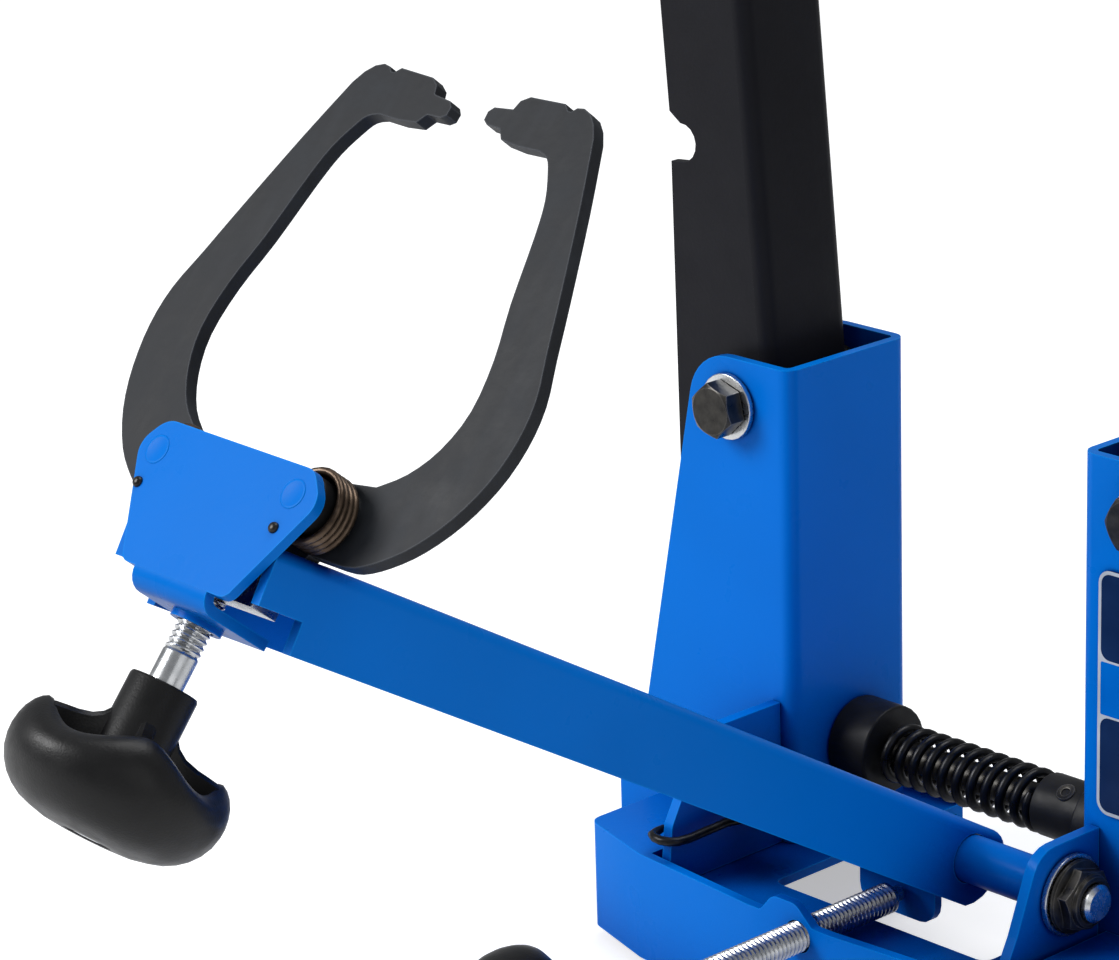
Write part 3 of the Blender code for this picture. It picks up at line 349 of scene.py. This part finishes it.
# ---------------------------------------------------------------- frames of the stand
# The working origin lies on the bench, midway between the uprights. MIDDLE is its place in the row.
BASE_LOW, BASE_HIGH = (Vector(corner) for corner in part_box("base_frame"))
BASE_BACK = 0.030              # the base's back edge, behind the working origin
MIDDLE = Vector(((BASE_LOW.x + BASE_HIGH.x) / 2, BASE_HIGH.y - BASE_BACK, 0))
CAMERA_PLACE = Vector((0.6771, -0.7628, 0.4633))
ROD = Vector((0, 0.002, 0.047))
STUD_Z = 0.0285                # height stud above the bench
STUD_TIP = -0.0329
HEIGHT_KNOB_Y = -0.1715
KNOB_HOLD = 0.0123             # a stud starts this deep in its knob
PIVOT = Vector((0, -0.0337, 0.0448))
LEAN = radians(39.4)
SCREW_AXIS = Vector((0, sin(LEAN), cos(LEAN)))
CALIPER_OUT = Vector((0, -cos(LEAN), sin(LEAN)))
HEAD = Vector((0, -0.2484, 0.1544))
SCREW_POINT = HEAD + CALIPER_OUT * 0.002
HOUSING_FRONT = 0.0145         # front plate's face, ahead of the calipers' middle
CALIPER_HALF_THICK = 0.0018
CALIPER_PIVOT = (0.0225, 0.033)
CALIPER_KNOB_REACH = 0.0472
HINGE_X = 0.0684               # upright hinge bolts
HINGE_Z = 0.1393
BRACKET_FACE = 0.0220          # outer faces of the brackets' flanges, from the middle
PIVOT_END = 0.0572             # pivot bolt's head and nut start here
STUD_R = 0.00397
PITCH = 0.001411               # thread pitch of the studs and bolts
ROD_PITCH = 0.0015
BRACKET_IN = 0.0478            # inner faces of the brackets' webs
BUSH_DEPTH = 0.0128
COLLAR_IN = 0.0185
HINGE_FLATS = 0.0127           # across the flats of heads and nuts
PIVOT_FLATS = 0.0143
LABEL_FACE = -0.0229
SIDES = ((-1, "left"), (1, "right"))


def along(origin, axis):
    """Placement whose local z runs along the axis."""
    matrix = Vector(axis).to_track_quat("Z", "Y").to_matrix().to_4x4()
    matrix.translation = Vector(origin)
    return matrix


def head_point(x, rise, out):
    """A point of the caliper head: across, up the screw's axis, and ahead of the calipers."""
    return HEAD + Vector((x, 0, 0)) + SCREW_AXIS * rise + CALIPER_OUT * out


# ---------------------------------------------------------------- modelling helpers
def piece(name, shape, material, body, *nodes, degrees=40, bevel=0.0):
    """Finish a bmesh, made round the working origin, as a piece that rides on a body."""
    bmesh.ops.translate(shape, verts=shape.verts, vec=MIDDLE)
    bmesh.ops.recalc_face_normals(shape, faces=shape.faces)
    mesh = bpy.data.meshes.new(name)
    shape.to_mesh(mesh)
    shape.free()
    for polygon in mesh.polygons:
        polygon.use_smooth = True
    mesh.set_sharp_from_angle(angle=radians(degrees))
    obj = bpy.data.objects.new(name, mesh)
    bpy.context.scene.collection.objects.link(obj)
    paint(obj, material)
    if bevel:
        edge = obj.modifiers.new("Edges", "BEVEL")
        edge.width = bevel
        edge.segments = 2
        edge.limit_method = "ANGLE"
        edge.angle_limit = EDGE_ANGLE
    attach(obj, body)
    if nodes:
        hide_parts(*nodes)
    return obj


def skin(shape, rings, closed=False):
    """Join rings of points, all the same length, into a capped tube or a closed hoop."""
    rows = [[shape.verts.new(point) for point in ring] for ring in rings]
    count = len(rows[0])
    for low, high in zip(rows, rows[1:] + ([rows[0]] if closed else [])):
        for i in range(count):
            shape.faces.new((low[i], low[(i + 1) % count], high[(i + 1) % count], high[i]))
    if not closed:
        shape.faces.new(list(reversed(rows[0])))
        shape.faces.new(rows[-1])


def lathe(shape, place, profile, steps=48, wave=None, closed=False):
    """Turn (radius, height) points about the local z, with a wave in the radius if one is given."""
    rings = []
    for radius, height in profile:
        ring = []
        for i in range(steps):
            angle = 2 * pi * i / steps
            reach = radius * (wave(angle, height) if wave else 1.0)
            ring.append(place @ Vector((reach * cos(angle), reach * sin(angle), height)))
        rings.append(ring)
    skin(shape, rings, closed)


def screw_thread(shape, place, radius, length, threads, pitch=PITCH, sides=28, chamfer=0.0006):
    """Round bar with real helical threads between the given heights."""
    depth = pitch * 0.5
    step = pitch / 6
    heights = [0.0, chamfer]
    start, end = threads
    if start > chamfer:
        heights.append(start)
    rows = int((end - start) / step)
    heights += [start + step * i for i in range(1, rows)]
    if end < length - chamfer:
        heights.append(end)
    heights += [length - chamfer, length]
    rings = []
    for height in heights:
        ring = []
        for i in range(sides):
            angle = 2 * pi * i / sides
            reach = radius
            if start <= height <= end:
                phase = (height / pitch - i / sides) % 1.0
                groove = max(0.0, 1.0 - abs(2 * phase - 1.0) * 1.25)
                fade = min(1.0, (height - start) / pitch, (end - height) / pitch)
                reach -= depth * groove * fade
            if height in (0.0, length):
                reach -= chamfer
            ring.append(place @ Vector((reach * cos(angle), reach * sin(angle), height)))
        rings.append(ring)
    skin(shape, rings)


def hexagon_head(shape, place, across_flats, height, bore=0.0, both=False):
    """Hexagon with its corners turned off at 30 degrees, as on real bolts and nuts."""
    steps = 60
    flat = across_flats / 2
    trim = flat * 0.96

    def ring(limit, base, slope):
        """A circle of the limit's radius, or the hexagon itself where the limit is 0."""
        points = []
        for i in range(steps):
            angle = 2 * pi * i / steps
            wide = limit or flat / cos((angle + pi / 6) % (pi / 3) - pi / 6)
            drop = 0.0 if limit else max(0.0, wide - trim) * 0.58 * slope
            points.append(place @ Vector((wide * cos(angle), wide * sin(angle), base - drop)))
        return points

    rings = []
    if both:
        rings += [ring(trim, 0.0, 0), ring(0, 0.0, -1)]
    else:
        rings.append(ring(0, 0.0, 0))
    rings += [ring(0, height, 1), ring(trim, height, 0)]
    if bore:
        rings += [ring(bore + 0.0004, height, 0), ring(bore, height - 0.0004, 0),
                  ring(bore, 0.0004, 0), ring(bore + 0.0004, 0.0, 0)]
        skin(shape, rings, closed=True)
    else:
        skin(shape, rings)


def wire(shape, points, radius, sides=12):
    """Round wire through the points, with its section carried along without twisting."""
    points = [Vector(point) for point in points]
    tangent = (points[1] - points[0]).normalized()
    side = tangent.orthogonal().normalized()
    rings = []
    for i, point in enumerate(points):
        ahead = points[min(i + 1, len(points) - 1)] - points[max(i - 1, 0)]
        tangent = ahead.normalized()
        side = (side - tangent * side.dot(tangent)).normalized()
        other = tangent.cross(side)
        size = radius * (0.75 if i in (0, len(points) - 1) else 1.0)
        rings.append([point + (side * cos(a) + other * sin(a)) * size
                      for a in (2 * pi * k / sides for k in range(sides))])
    skin(shape, rings)


def coil(place, radius, length, turns, per_turn=28, start=0.0, flat_ends=0.75, hand=1):
    """Points of a coil spring whose end turns close up, wound to either hand."""
    count = int(turns * per_turn)
    points = []
    rise = 0.0
    steps = []
    for i in range(count):
        turn = (i + 0.5) / per_turn
        near_end = min(turn, turns - turn)
        steps.append(min(1.0, 0.35 + 0.65 * near_end / flat_ends))
    total = sum(steps)
    for i in range(count + 1):
        angle = start + hand * 2 * pi * i / per_turn
        points.append(place @ Vector((radius * cos(angle), radius * sin(angle), length * rise / total)))
        if i < count:
            rise += steps[i]
    return points


def plate(shape, place, outline, thickness):
    """Flat sheet whose outline lies in the local xy plane."""
    low = [place @ Vector((x, y, 0)) for x, y in outline]
    high = [place @ Vector((x, y, thickness)) for x, y in outline]
    skin(shape, [low, high])


def round_rectangle(left, low, right, high, radius, steps=6):
    """Outline of a rectangle with round corners."""
    outline = []
    for cx, cy, start in ((right - radius, high - radius, 0), (left + radius, high - radius, 90),
                          (left + radius, low + radius, 180), (right - radius, low + radius, 270)):
        for k in range(steps + 1):
            angle = radians(start + 90 * k / steps)
            outline.append((cx + radius * cos(angle), cy + radius * sin(angle)))
    return outline


# ---------------------------------------------------------------- knobs
KNOB_TURN = radians(8)


def knob(name, face, axis, body, node):
    """Domed hand knob: a rolled rim that dips between four ribs, and a deep hub."""
    place = along(face, axis)
    towards = place.inverted() @ CAMERA_PLACE
    place = place @ Matrix.Rotation(atan2(towards.y, towards.x) + KNOB_TURN, 4, "Z")
    profile = [(0.0001, 0.0010), (0.0052, 0.0010), (0.0056, 0.0001), (0.0068, 0.0), (0.0105, 0.0003),
               (0.0140, 0.0011), (0.0168, 0.0020), (0.0192, 0.0034), (0.0212, 0.0051),
               (0.0229, 0.0073), (0.0241, 0.0098), (0.0247, 0.0125), (0.0248, 0.0148),
               (0.0245, 0.0170), (0.0239, 0.0190), (0.0229, 0.0208), (0.0217, 0.0221),
               (0.0205, 0.0228), (0.0194, 0.0226), (0.0186, 0.0212), (0.0181, 0.0184),
               (0.0170, 0.0132), (0.0150, 0.0118), (0.0098, 0.0116), (0.0086, 0.0122),
               (0.0079, 0.0142), (0.0078, 0.0350), (0.0075, 0.0356), (0.0050, 0.0356),
               (0.0043, 0.0350), (0.0043, 0.0125), (0.0001, 0.0125)]
    shape = bmesh.new()
    steps = 96
    rings = []
    for radius, height in profile:
        ring = []
        for i in range(steps):
            angle = 2 * pi * i / steps
            high = max(0.0, height - 0.0110) if radius > 0.0170 else 0.0
            dip = high * 0.42 * (0.5 - 0.5 * cos(4 * angle)) ** 0.8
            ring.append(place @ Vector((radius * cos(angle), radius * sin(angle), height - dip)))
        rings.append(ring)
    skin(shape, rings)
    foot = 0.0112
    for quarter in range(4):
        rib = place @ Matrix.Rotation(pi / 2 * quarter, 4, "Z")
        sections = []
        for reach, top, half in ((0.0070, 0.0275, 0.0018), (0.0088, 0.0252, 0.0018),
                                 (0.0110, 0.0238, 0.0020), (0.0140, 0.0230, 0.0026),
                                 (0.0168, 0.0226, 0.0038), (0.0192, 0.0222, 0.0052)):
            sections.append([rib @ Vector((reach, y, z)) for y, z in (
                (-half, foot), (half, foot), (half, top - 0.0010), (half * 0.6, top),
                (-half * 0.6, top), (-half, top - 0.0010))])
        skin(shape, sections)
    cap = bmesh.new()
    lathe(cap, place, [(0.0001, 0.0002), (0.0032, 0.0003), (0.0046, 0.0006), (0.0050, 0.0009),
                       (0.0050, 0.0014), (0.0001, 0.0014)], 40)
    piece(name, shape, PLASTIC, body, node, degrees=38)
    piece(name + "_cap", cap, ZINC, body)


def grip_wave(angle, height):
    """Eight shallow flutes round the spreading knob."""
    return 1.0 - (0.05 * (0.5 + 0.5 * cos(8 * angle)) if 0.004 < height < 0.022 else 0.0)


knob("caliper_knob_grip", SCREW_POINT - SCREW_AXIS * CALIPER_KNOB_REACH, SCREW_AXIS, "caliper_screw",
     "caliper_knob")
knob("height_knob_grip", (0, HEIGHT_KNOB_Y, STUD_Z), (0, 1, 0), "height_knob", "height_knob")



def make_spread_knob():
    """Fluted knob at the rod's right end."""
    shape = bmesh.new()
    lathe(shape, along((0.1173, ROD.y, ROD.z), (1, 0, 0)),
          [(0.0001, 0.0), (0.0088, 0.0), (0.0100, 0.0008), (0.0122, 0.0042), (0.0146, 0.0074),
           (0.0156, 0.0104), (0.0160, 0.0140), (0.0158, 0.0175), (0.0148, 0.0208),
           (0.0125, 0.0230), (0.0100, 0.0239), (0.0001, 0.0240)], 96, grip_wave)
    piece("spread_knob_grip", shape, PLASTIC, "spread_screw", "spread_knob")


make_spread_knob()


# ---------------------------------------------------------------- screws
def make_caliper_stud():
    """Adjusting stud under the caliper head, threaded where it passes the housing's wall."""
    shape = bmesh.new()
    start = SCREW_POINT - SCREW_AXIS * (CALIPER_KNOB_REACH - KNOB_HOLD)
    screw_thread(shape, along(start, SCREW_AXIS), STUD_R, 0.0444, (0.0301, 0.0440))
    piece("caliper_stud_thread", shape, ZINC, "caliper_screw", "caliper_stud", degrees=25)


def make_height_stud():
    """Adjusting stud through the base's front wall, with a turned-down tip."""
    shape = bmesh.new()
    long = STUD_TIP - HEIGHT_KNOB_Y - KNOB_HOLD
    screw_thread(shape, along((0, HEIGHT_KNOB_Y + KNOB_HOLD, STUD_Z), (0, 1, 0)), STUD_R,
                 long - 0.0045, (0.0310, long - 0.0050))
    lathe(shape, along((0, STUD_TIP, STUD_Z), (0, -1, 0)),
          [(0.0001, 0.0), (0.0009, 0.0001), (0.0016, 0.0006), (0.0020, 0.0014), (0.0020, 0.0032),
           (0.0032, 0.0045), (0.0032, 0.0052), (0.0001, 0.0052)], 28)
    piece("height_stud_thread", shape, ZINC, "height_stud", "height_stud", degrees=25)


def make_rod():
    """Spreading rod, threaded at both ends."""
    left = bmesh.new()
    screw_thread(left, along((-0.086, ROD.y, ROD.z), (1, 0, 0)), 0.004, 0.203, (0.0010, 0.0385),
                 ROD_PITCH)
    piece("rod_left_thread", left, OXIDE, "spread_screw", "threaded_rod", degrees=25)
    right = bmesh.new()
    screw_thread(right, along((0.0500, ROD.y, ROD.z), (1, 0, 0)), 0.00402, 0.0660,
                 (0.0010, 0.0560), ROD_PITCH)
    piece("rod_right_thread", right, OXIDE, "spread_screw", degrees=25)


make_caliper_stud()
make_height_stud()
make_rod()


# ---------------------------------------------------------------- bolts and nuts
def make_hinge_bolt(side, name):
    """Hex bolt and nut of one upright's hinge, with the head turned a little."""
    x = side * HINGE_X
    turn = Matrix.Rotation(radians(22 + 9 * side), 4, "Z")
    shape = bmesh.new()
    hexagon_head(shape, along((x, -BRACKET_FACE - 0.0022, HINGE_Z), (0, -1, 0)) @ turn,
                 HINGE_FLATS, 0.0053)
    screw_thread(shape, along((x, -BRACKET_FACE - 0.0023, HINGE_Z), (0, 1, 0)), 0.0039, 0.0563,
                 (0.0400, 0.0560))
    piece(name + "_hinge_screw", shape, OXIDE, "stand", name + "_hinge_bolt", degrees=25)
    shape = bmesh.new()
    hexagon_head(shape, along((x, BRACKET_FACE + GAP, HINGE_Z), (0, 1, 0)), HINGE_FLATS, 0.0072,
                 0.0042, True)
    piece(name + "_hinge_hexnut", shape, OXIDE, "stand", name + "_hinge_nut", degrees=25)


def make_pivot_bolt():
    """Bolt of the arm's pivot, threaded at its right end."""
    shape = bmesh.new()
    hexagon_head(shape, along((-PIVOT_END, PIVOT.y, PIVOT.z), (-1, 0, 0)), PIVOT_FLATS, 0.0058)
    screw_thread(shape, along((-PIVOT_END - 0.001, PIVOT.y, PIVOT.z), (1, 0, 0)), 0.00476,
                 2 * PIVOT_END + 0.001 + 0.0080, (2 * PIVOT_END - 0.006, 2 * PIVOT_END + 0.0072),
                 0.0016, 32, 0.0009)
    piece("pivot_screw", shape, ZINC, "stand", "pivot_bolt", degrees=25)


def make_lock_nut():
    """Flanged lock nut with its crimped collar and nylon insert."""
    place = along((PIVOT_END, PIVOT.y, PIVOT.z), (1, 0, 0)) @ Matrix.Rotation(radians(14), 4, "Z")
    shape = bmesh.new()
    hexagon_head(shape, place, PIVOT_FLATS, 0.0046, 0.0051, True)
    lathe(shape, place, [(0.0051, 0.0042), (0.0066, 0.0042), (0.0066, 0.0052), (0.0063, 0.0058),
                         (0.0058, 0.0060), (0.0054, 0.0060), (0.0051, 0.0058)], 48, closed=True)
    lathe(shape, place, [(0.0052, 0.0), (0.0092, 0.0), (0.0094, 0.0005), (0.0091, 0.0011),
                         (0.0076, 0.0018), (0.0052, 0.0018)], 64, closed=True)
    piece("pivot_locknut", shape, OXIDE, "stand", "pivot_nut", degrees=28)
    shape = bmesh.new()
    lathe(shape, place, [(0.00485, 0.0044), (0.0056, 0.0044), (0.0056, 0.0057), (0.0052, 0.0059),
                         (0.00485, 0.0057)], 40, closed=True)
    piece("pivot_locknut_insert", shape, NYLON, "stand")


for side, name in SIDES:
    make_hinge_bolt(side, name)
make_pivot_bolt()
make_lock_nut()


# ---------------------------------------------------------------- springs
def make_spread_spring():
    """Compression spring between the left bush and the rod's collar."""
    thick = 0.0013
    start = -BRACKET_IN + GAP + BUSH_DEPTH + GAP + thick
    shape = bmesh.new()
    points = coil(along((start, ROD.y, ROD.z), (1, 0, 0)), 0.0069, COLLAR_IN - GAP - thick - start,
                  10.7, 28, 0.5, hand=-1)
    wire(shape, points, thick, 14)
    piece("spread_spring_wire", shape, SPRING_BLACK, "stand", "spread_spring", degrees=60)


def make_torsion_spring(side, name):
    """Spring round one caliper's pin, with a short straight end."""
    low = head_point(side * CALIPER_PIVOT[0], CALIPER_PIVOT[1], CALIPER_HALF_THICK + GAP + 0.0010)
    points = coil(along(low, CALIPER_OUT), 0.0079, 0.0058, 4.25, 28, pi / 2)
    last = points[-1]
    lead = (points[-1] - points[-2]).normalized()
    points += [last + lead * 0.0008 * i for i in range(1, 5)]
    shape = bmesh.new()
    wire(shape, points, 0.00085, 12)
    piece("torsion_spring_%s_wire" % name, shape, SPRING_BROWN, "caliper_arm",
          "torsion_spring_" + name, degrees=60)


def make_arm_spring():
    """Torsion spring round the pivot tube, hooked over the left ear's front edge."""
    turns = 5
    per_turn = 28
    coils = [(-0.0470 + 0.020 * i / (turns * per_turn), PIVOT.y + 0.0085 * sin(2 * pi * i / per_turn),
              PIVOT.z - 0.0085 * cos(2 * pi * i / per_turn)) for i in range(turns * per_turn + 1)]
    hook_z = 0.0375
    hook = [(-0.0570, -0.0600, hook_z + 0.0004), (-0.0571, -0.0625, hook_z),
            (-0.0565, -0.0646, hook_z), (-0.0546, -0.0656, hook_z), (-0.0522, -0.0658, hook_z),
            (-0.0500, -0.0650, hook_z), (-0.0485, -0.0632, hook_z), (-0.0479, -0.0600, hook_z),
            (-0.0478, -0.0530, hook_z + 0.0002), (-0.0477, -0.0470, hook_z + 0.0004)]
    shape = bmesh.new()
    wire(shape, hook + coils, 0.0012, 12)
    piece("arm_spring_wire", shape, SPRING_BLACK, "stand", "arm_spring", degrees=60)


make_spread_spring()
for side, name in SIDES:
    make_torsion_spring(side, name)
make_arm_spring()


# ---------------------------------------------------------------- head and collar details
def make_head_details(side, name):
    """Stop pin and the faint boss of a caliper's pin, on the front plate."""
    shape = bmesh.new()
    lathe(shape, along(head_point(side * 0.0226 - 0.0006, 0.0250, HOUSING_FRONT - 0.0008), CALIPER_OUT),
          [(0.0001, 0.0), (0.00125, 0.0), (0.00125, 0.0011), (0.00100, 0.0015), (0.00055, 0.0017),
           (0.0001, 0.00175)], 24)
    piece("stop_pin_" + name, shape, OXIDE, "caliper_arm")
    shape = bmesh.new()
    boss = head_point(side * CALIPER_PIVOT[0], CALIPER_PIVOT[1], HOUSING_FRONT - 0.0004)
    lathe(shape, along(boss, CALIPER_OUT),
          [(0.0001, 0.0), (0.0034, 0.0), (0.0034, 0.00042), (0.0031, 0.00054), (0.0027, 0.00046),
           (0.0001, 0.00044)], 40)
    piece("pin_boss_" + name, shape, BLUE, "caliper_arm", degrees=70)


def make_collar_screw():
    """Ring of the set screw in the rod's collar."""
    shape = bmesh.new()
    lathe(shape, along((0.0275, ROD.y, ROD.z), (0, -0.55, 0.83)),
          [(0.0012, 0.0084), (0.0015, 0.0074), (0.0024, 0.0074), (0.0026, 0.0082), (0.0024, 0.0085),
           (0.0015, 0.0085)], 24, closed=True)
    piece("collar_set_screw", shape, OXIDE, "spread_screw")


for side, name in SIDES:
    make_head_details(side, name)
make_collar_screw()


# ---------------------------------------------------------------- label
def label_sheet(name, corners, material, proud):
    """A printed panel of the label, a hair proud of the one below."""
    place = Matrix.Translation((0, LABEL_FACE - proud, 0)) @ Matrix.Rotation(pi / 2, 4, "X")
    shape = bmesh.new()
    plate(shape, place, round_rectangle(*corners), -proud)
    piece(name, shape, material, "stand")


def make_label():
    """Silver rim round two navy panels, with a blue band between them."""
    left, low, right, high = 0.0546, 0.0625, 0.0845, 0.1245
    rim = 0.0009
    label_sheet("label_rim", (left, low, right, high, 0.0035), SILVER, 0.00005)
    label_sheet("label_top_panel", (left + rim, high - 0.0225, right - rim, high - rim, 0.0026),
                NAVY, 0.00010)
    label_sheet("label_band_panel", (left + rim, low + 0.0255, right - rim, high - 0.0231, 0.0004),
                BAND, 0.00010)
    label_sheet("label_low_panel", (left + rim, low + rim, right - rim, low + 0.0249, 0.0026),
                NAVY, 0.00010)


make_label()


# ---------------------------------------------------------------- stage, light and camera
STAGE = Shader("stage_white").set(Base_Color=(0.9, 0.9, 0.9, 1), Roughness=0.9, Specular_IOR_Level=0.0,
                                  Emission_Color=(1, 1, 1, 1))
STAGE_WHITE = STAGE.material


def white_to_camera(tree, strength, lit, seen):
    """Give light of one strength to the stand, and another to the camera."""
    path = tree.nodes.new("ShaderNodeLightPath")
    blend = tree.nodes.new("ShaderNodeMapRange")
    blend.inputs["To Min"].default_value = lit
    blend.inputs["To Max"].default_value = seen
    tree.links.new(path.outputs["Is Camera Ray"], blend.inputs["Value"])
    tree.links.new(blend.outputs["Result"], strength)


def make_stage():
    """Wide pale floor and an even pale sky."""
    floor = bpy.data.meshes.new("floor")
    shape = bmesh.new()
    bmesh.ops.create_grid(shape, x_segments=1, y_segments=1, size=6)
    shape.to_mesh(floor)
    shape.free()
    obj = bpy.data.objects.new("floor", floor)
    obj.location = (0, 0, -0.0005)
    bpy.context.scene.collection.objects.link(obj)
    paint(obj, STAGE_WHITE)
    white_to_camera(STAGE_WHITE.node_tree, STAGE.principled.inputs["Emission Strength"], 0.0, 0.45)
    world = bpy.data.worlds.new("studio")
    world.use_nodes = True
    world.node_tree.nodes["Background"].inputs["Color"].default_value = (0.95, 0.97, 1.0, 1)
    white_to_camera(world.node_tree, world.node_tree.nodes["Background"].inputs["Strength"], 0.30, 1.0)
    bpy.context.scene.world = world


def area_light(name, location, target, size, power):
    """Square softbox that looks at the target."""
    data = bpy.data.lights.new(name, "AREA")
    data.shape = "SQUARE"
    data.size = size
    data.energy = power
    obj = bpy.data.objects.new(name, data)
    obj.location = MIDDLE + Vector(location)
    direction = target - obj.location
    obj.rotation_euler = direction.to_track_quat("-Z", "Y").to_euler()
    bpy.context.scene.collection.objects.link(obj)


def make_lights():
    """Broad key from the front left, a weak fill, and a top light behind."""
    middle = MIDDLE + Vector((0, -0.08, 0.16))
    area_light("key", (-1.1, -1.5, 1.3), middle, 0.9, 33)
    area_light("fill", (1.9, -0.6, 0.8), middle, 1.2, 3)
    area_light("top", (0.1, 0.5, 1.9), middle, 1.1, 15)


def make_camera():
    """Long lens from the front right, a little above, rolled very slightly."""
    azimuth, elevation, roll = radians(47.59), radians(18.07), radians(1.79)
    right = Vector((cos(azimuth), sin(azimuth), 0))
    back = Vector((sin(azimuth) * cos(elevation), -cos(azimuth) * cos(elevation), sin(elevation)))
    up = back.cross(right)
    across = cos(roll) * right - sin(roll) * up
    over = sin(roll) * right + cos(roll) * up
    data = bpy.data.cameras.new("camera")
    data.lens = 138.7
    data.sensor_width = 36
    data.clip_start = 0.01
    camera = bpy.data.objects.new("camera", data)
    matrix = Matrix((across, over, back)).transposed().to_4x4()
    matrix.translation = MIDDLE + CAMERA_PLACE
    camera.matrix_world = matrix
    bpy.context.scene.collection.objects.link(camera)
    bpy.context.scene.camera = camera


make_stage()
make_lights()
make_camera()
bpy.context.scene.view_settings.view_transform = "Standard"
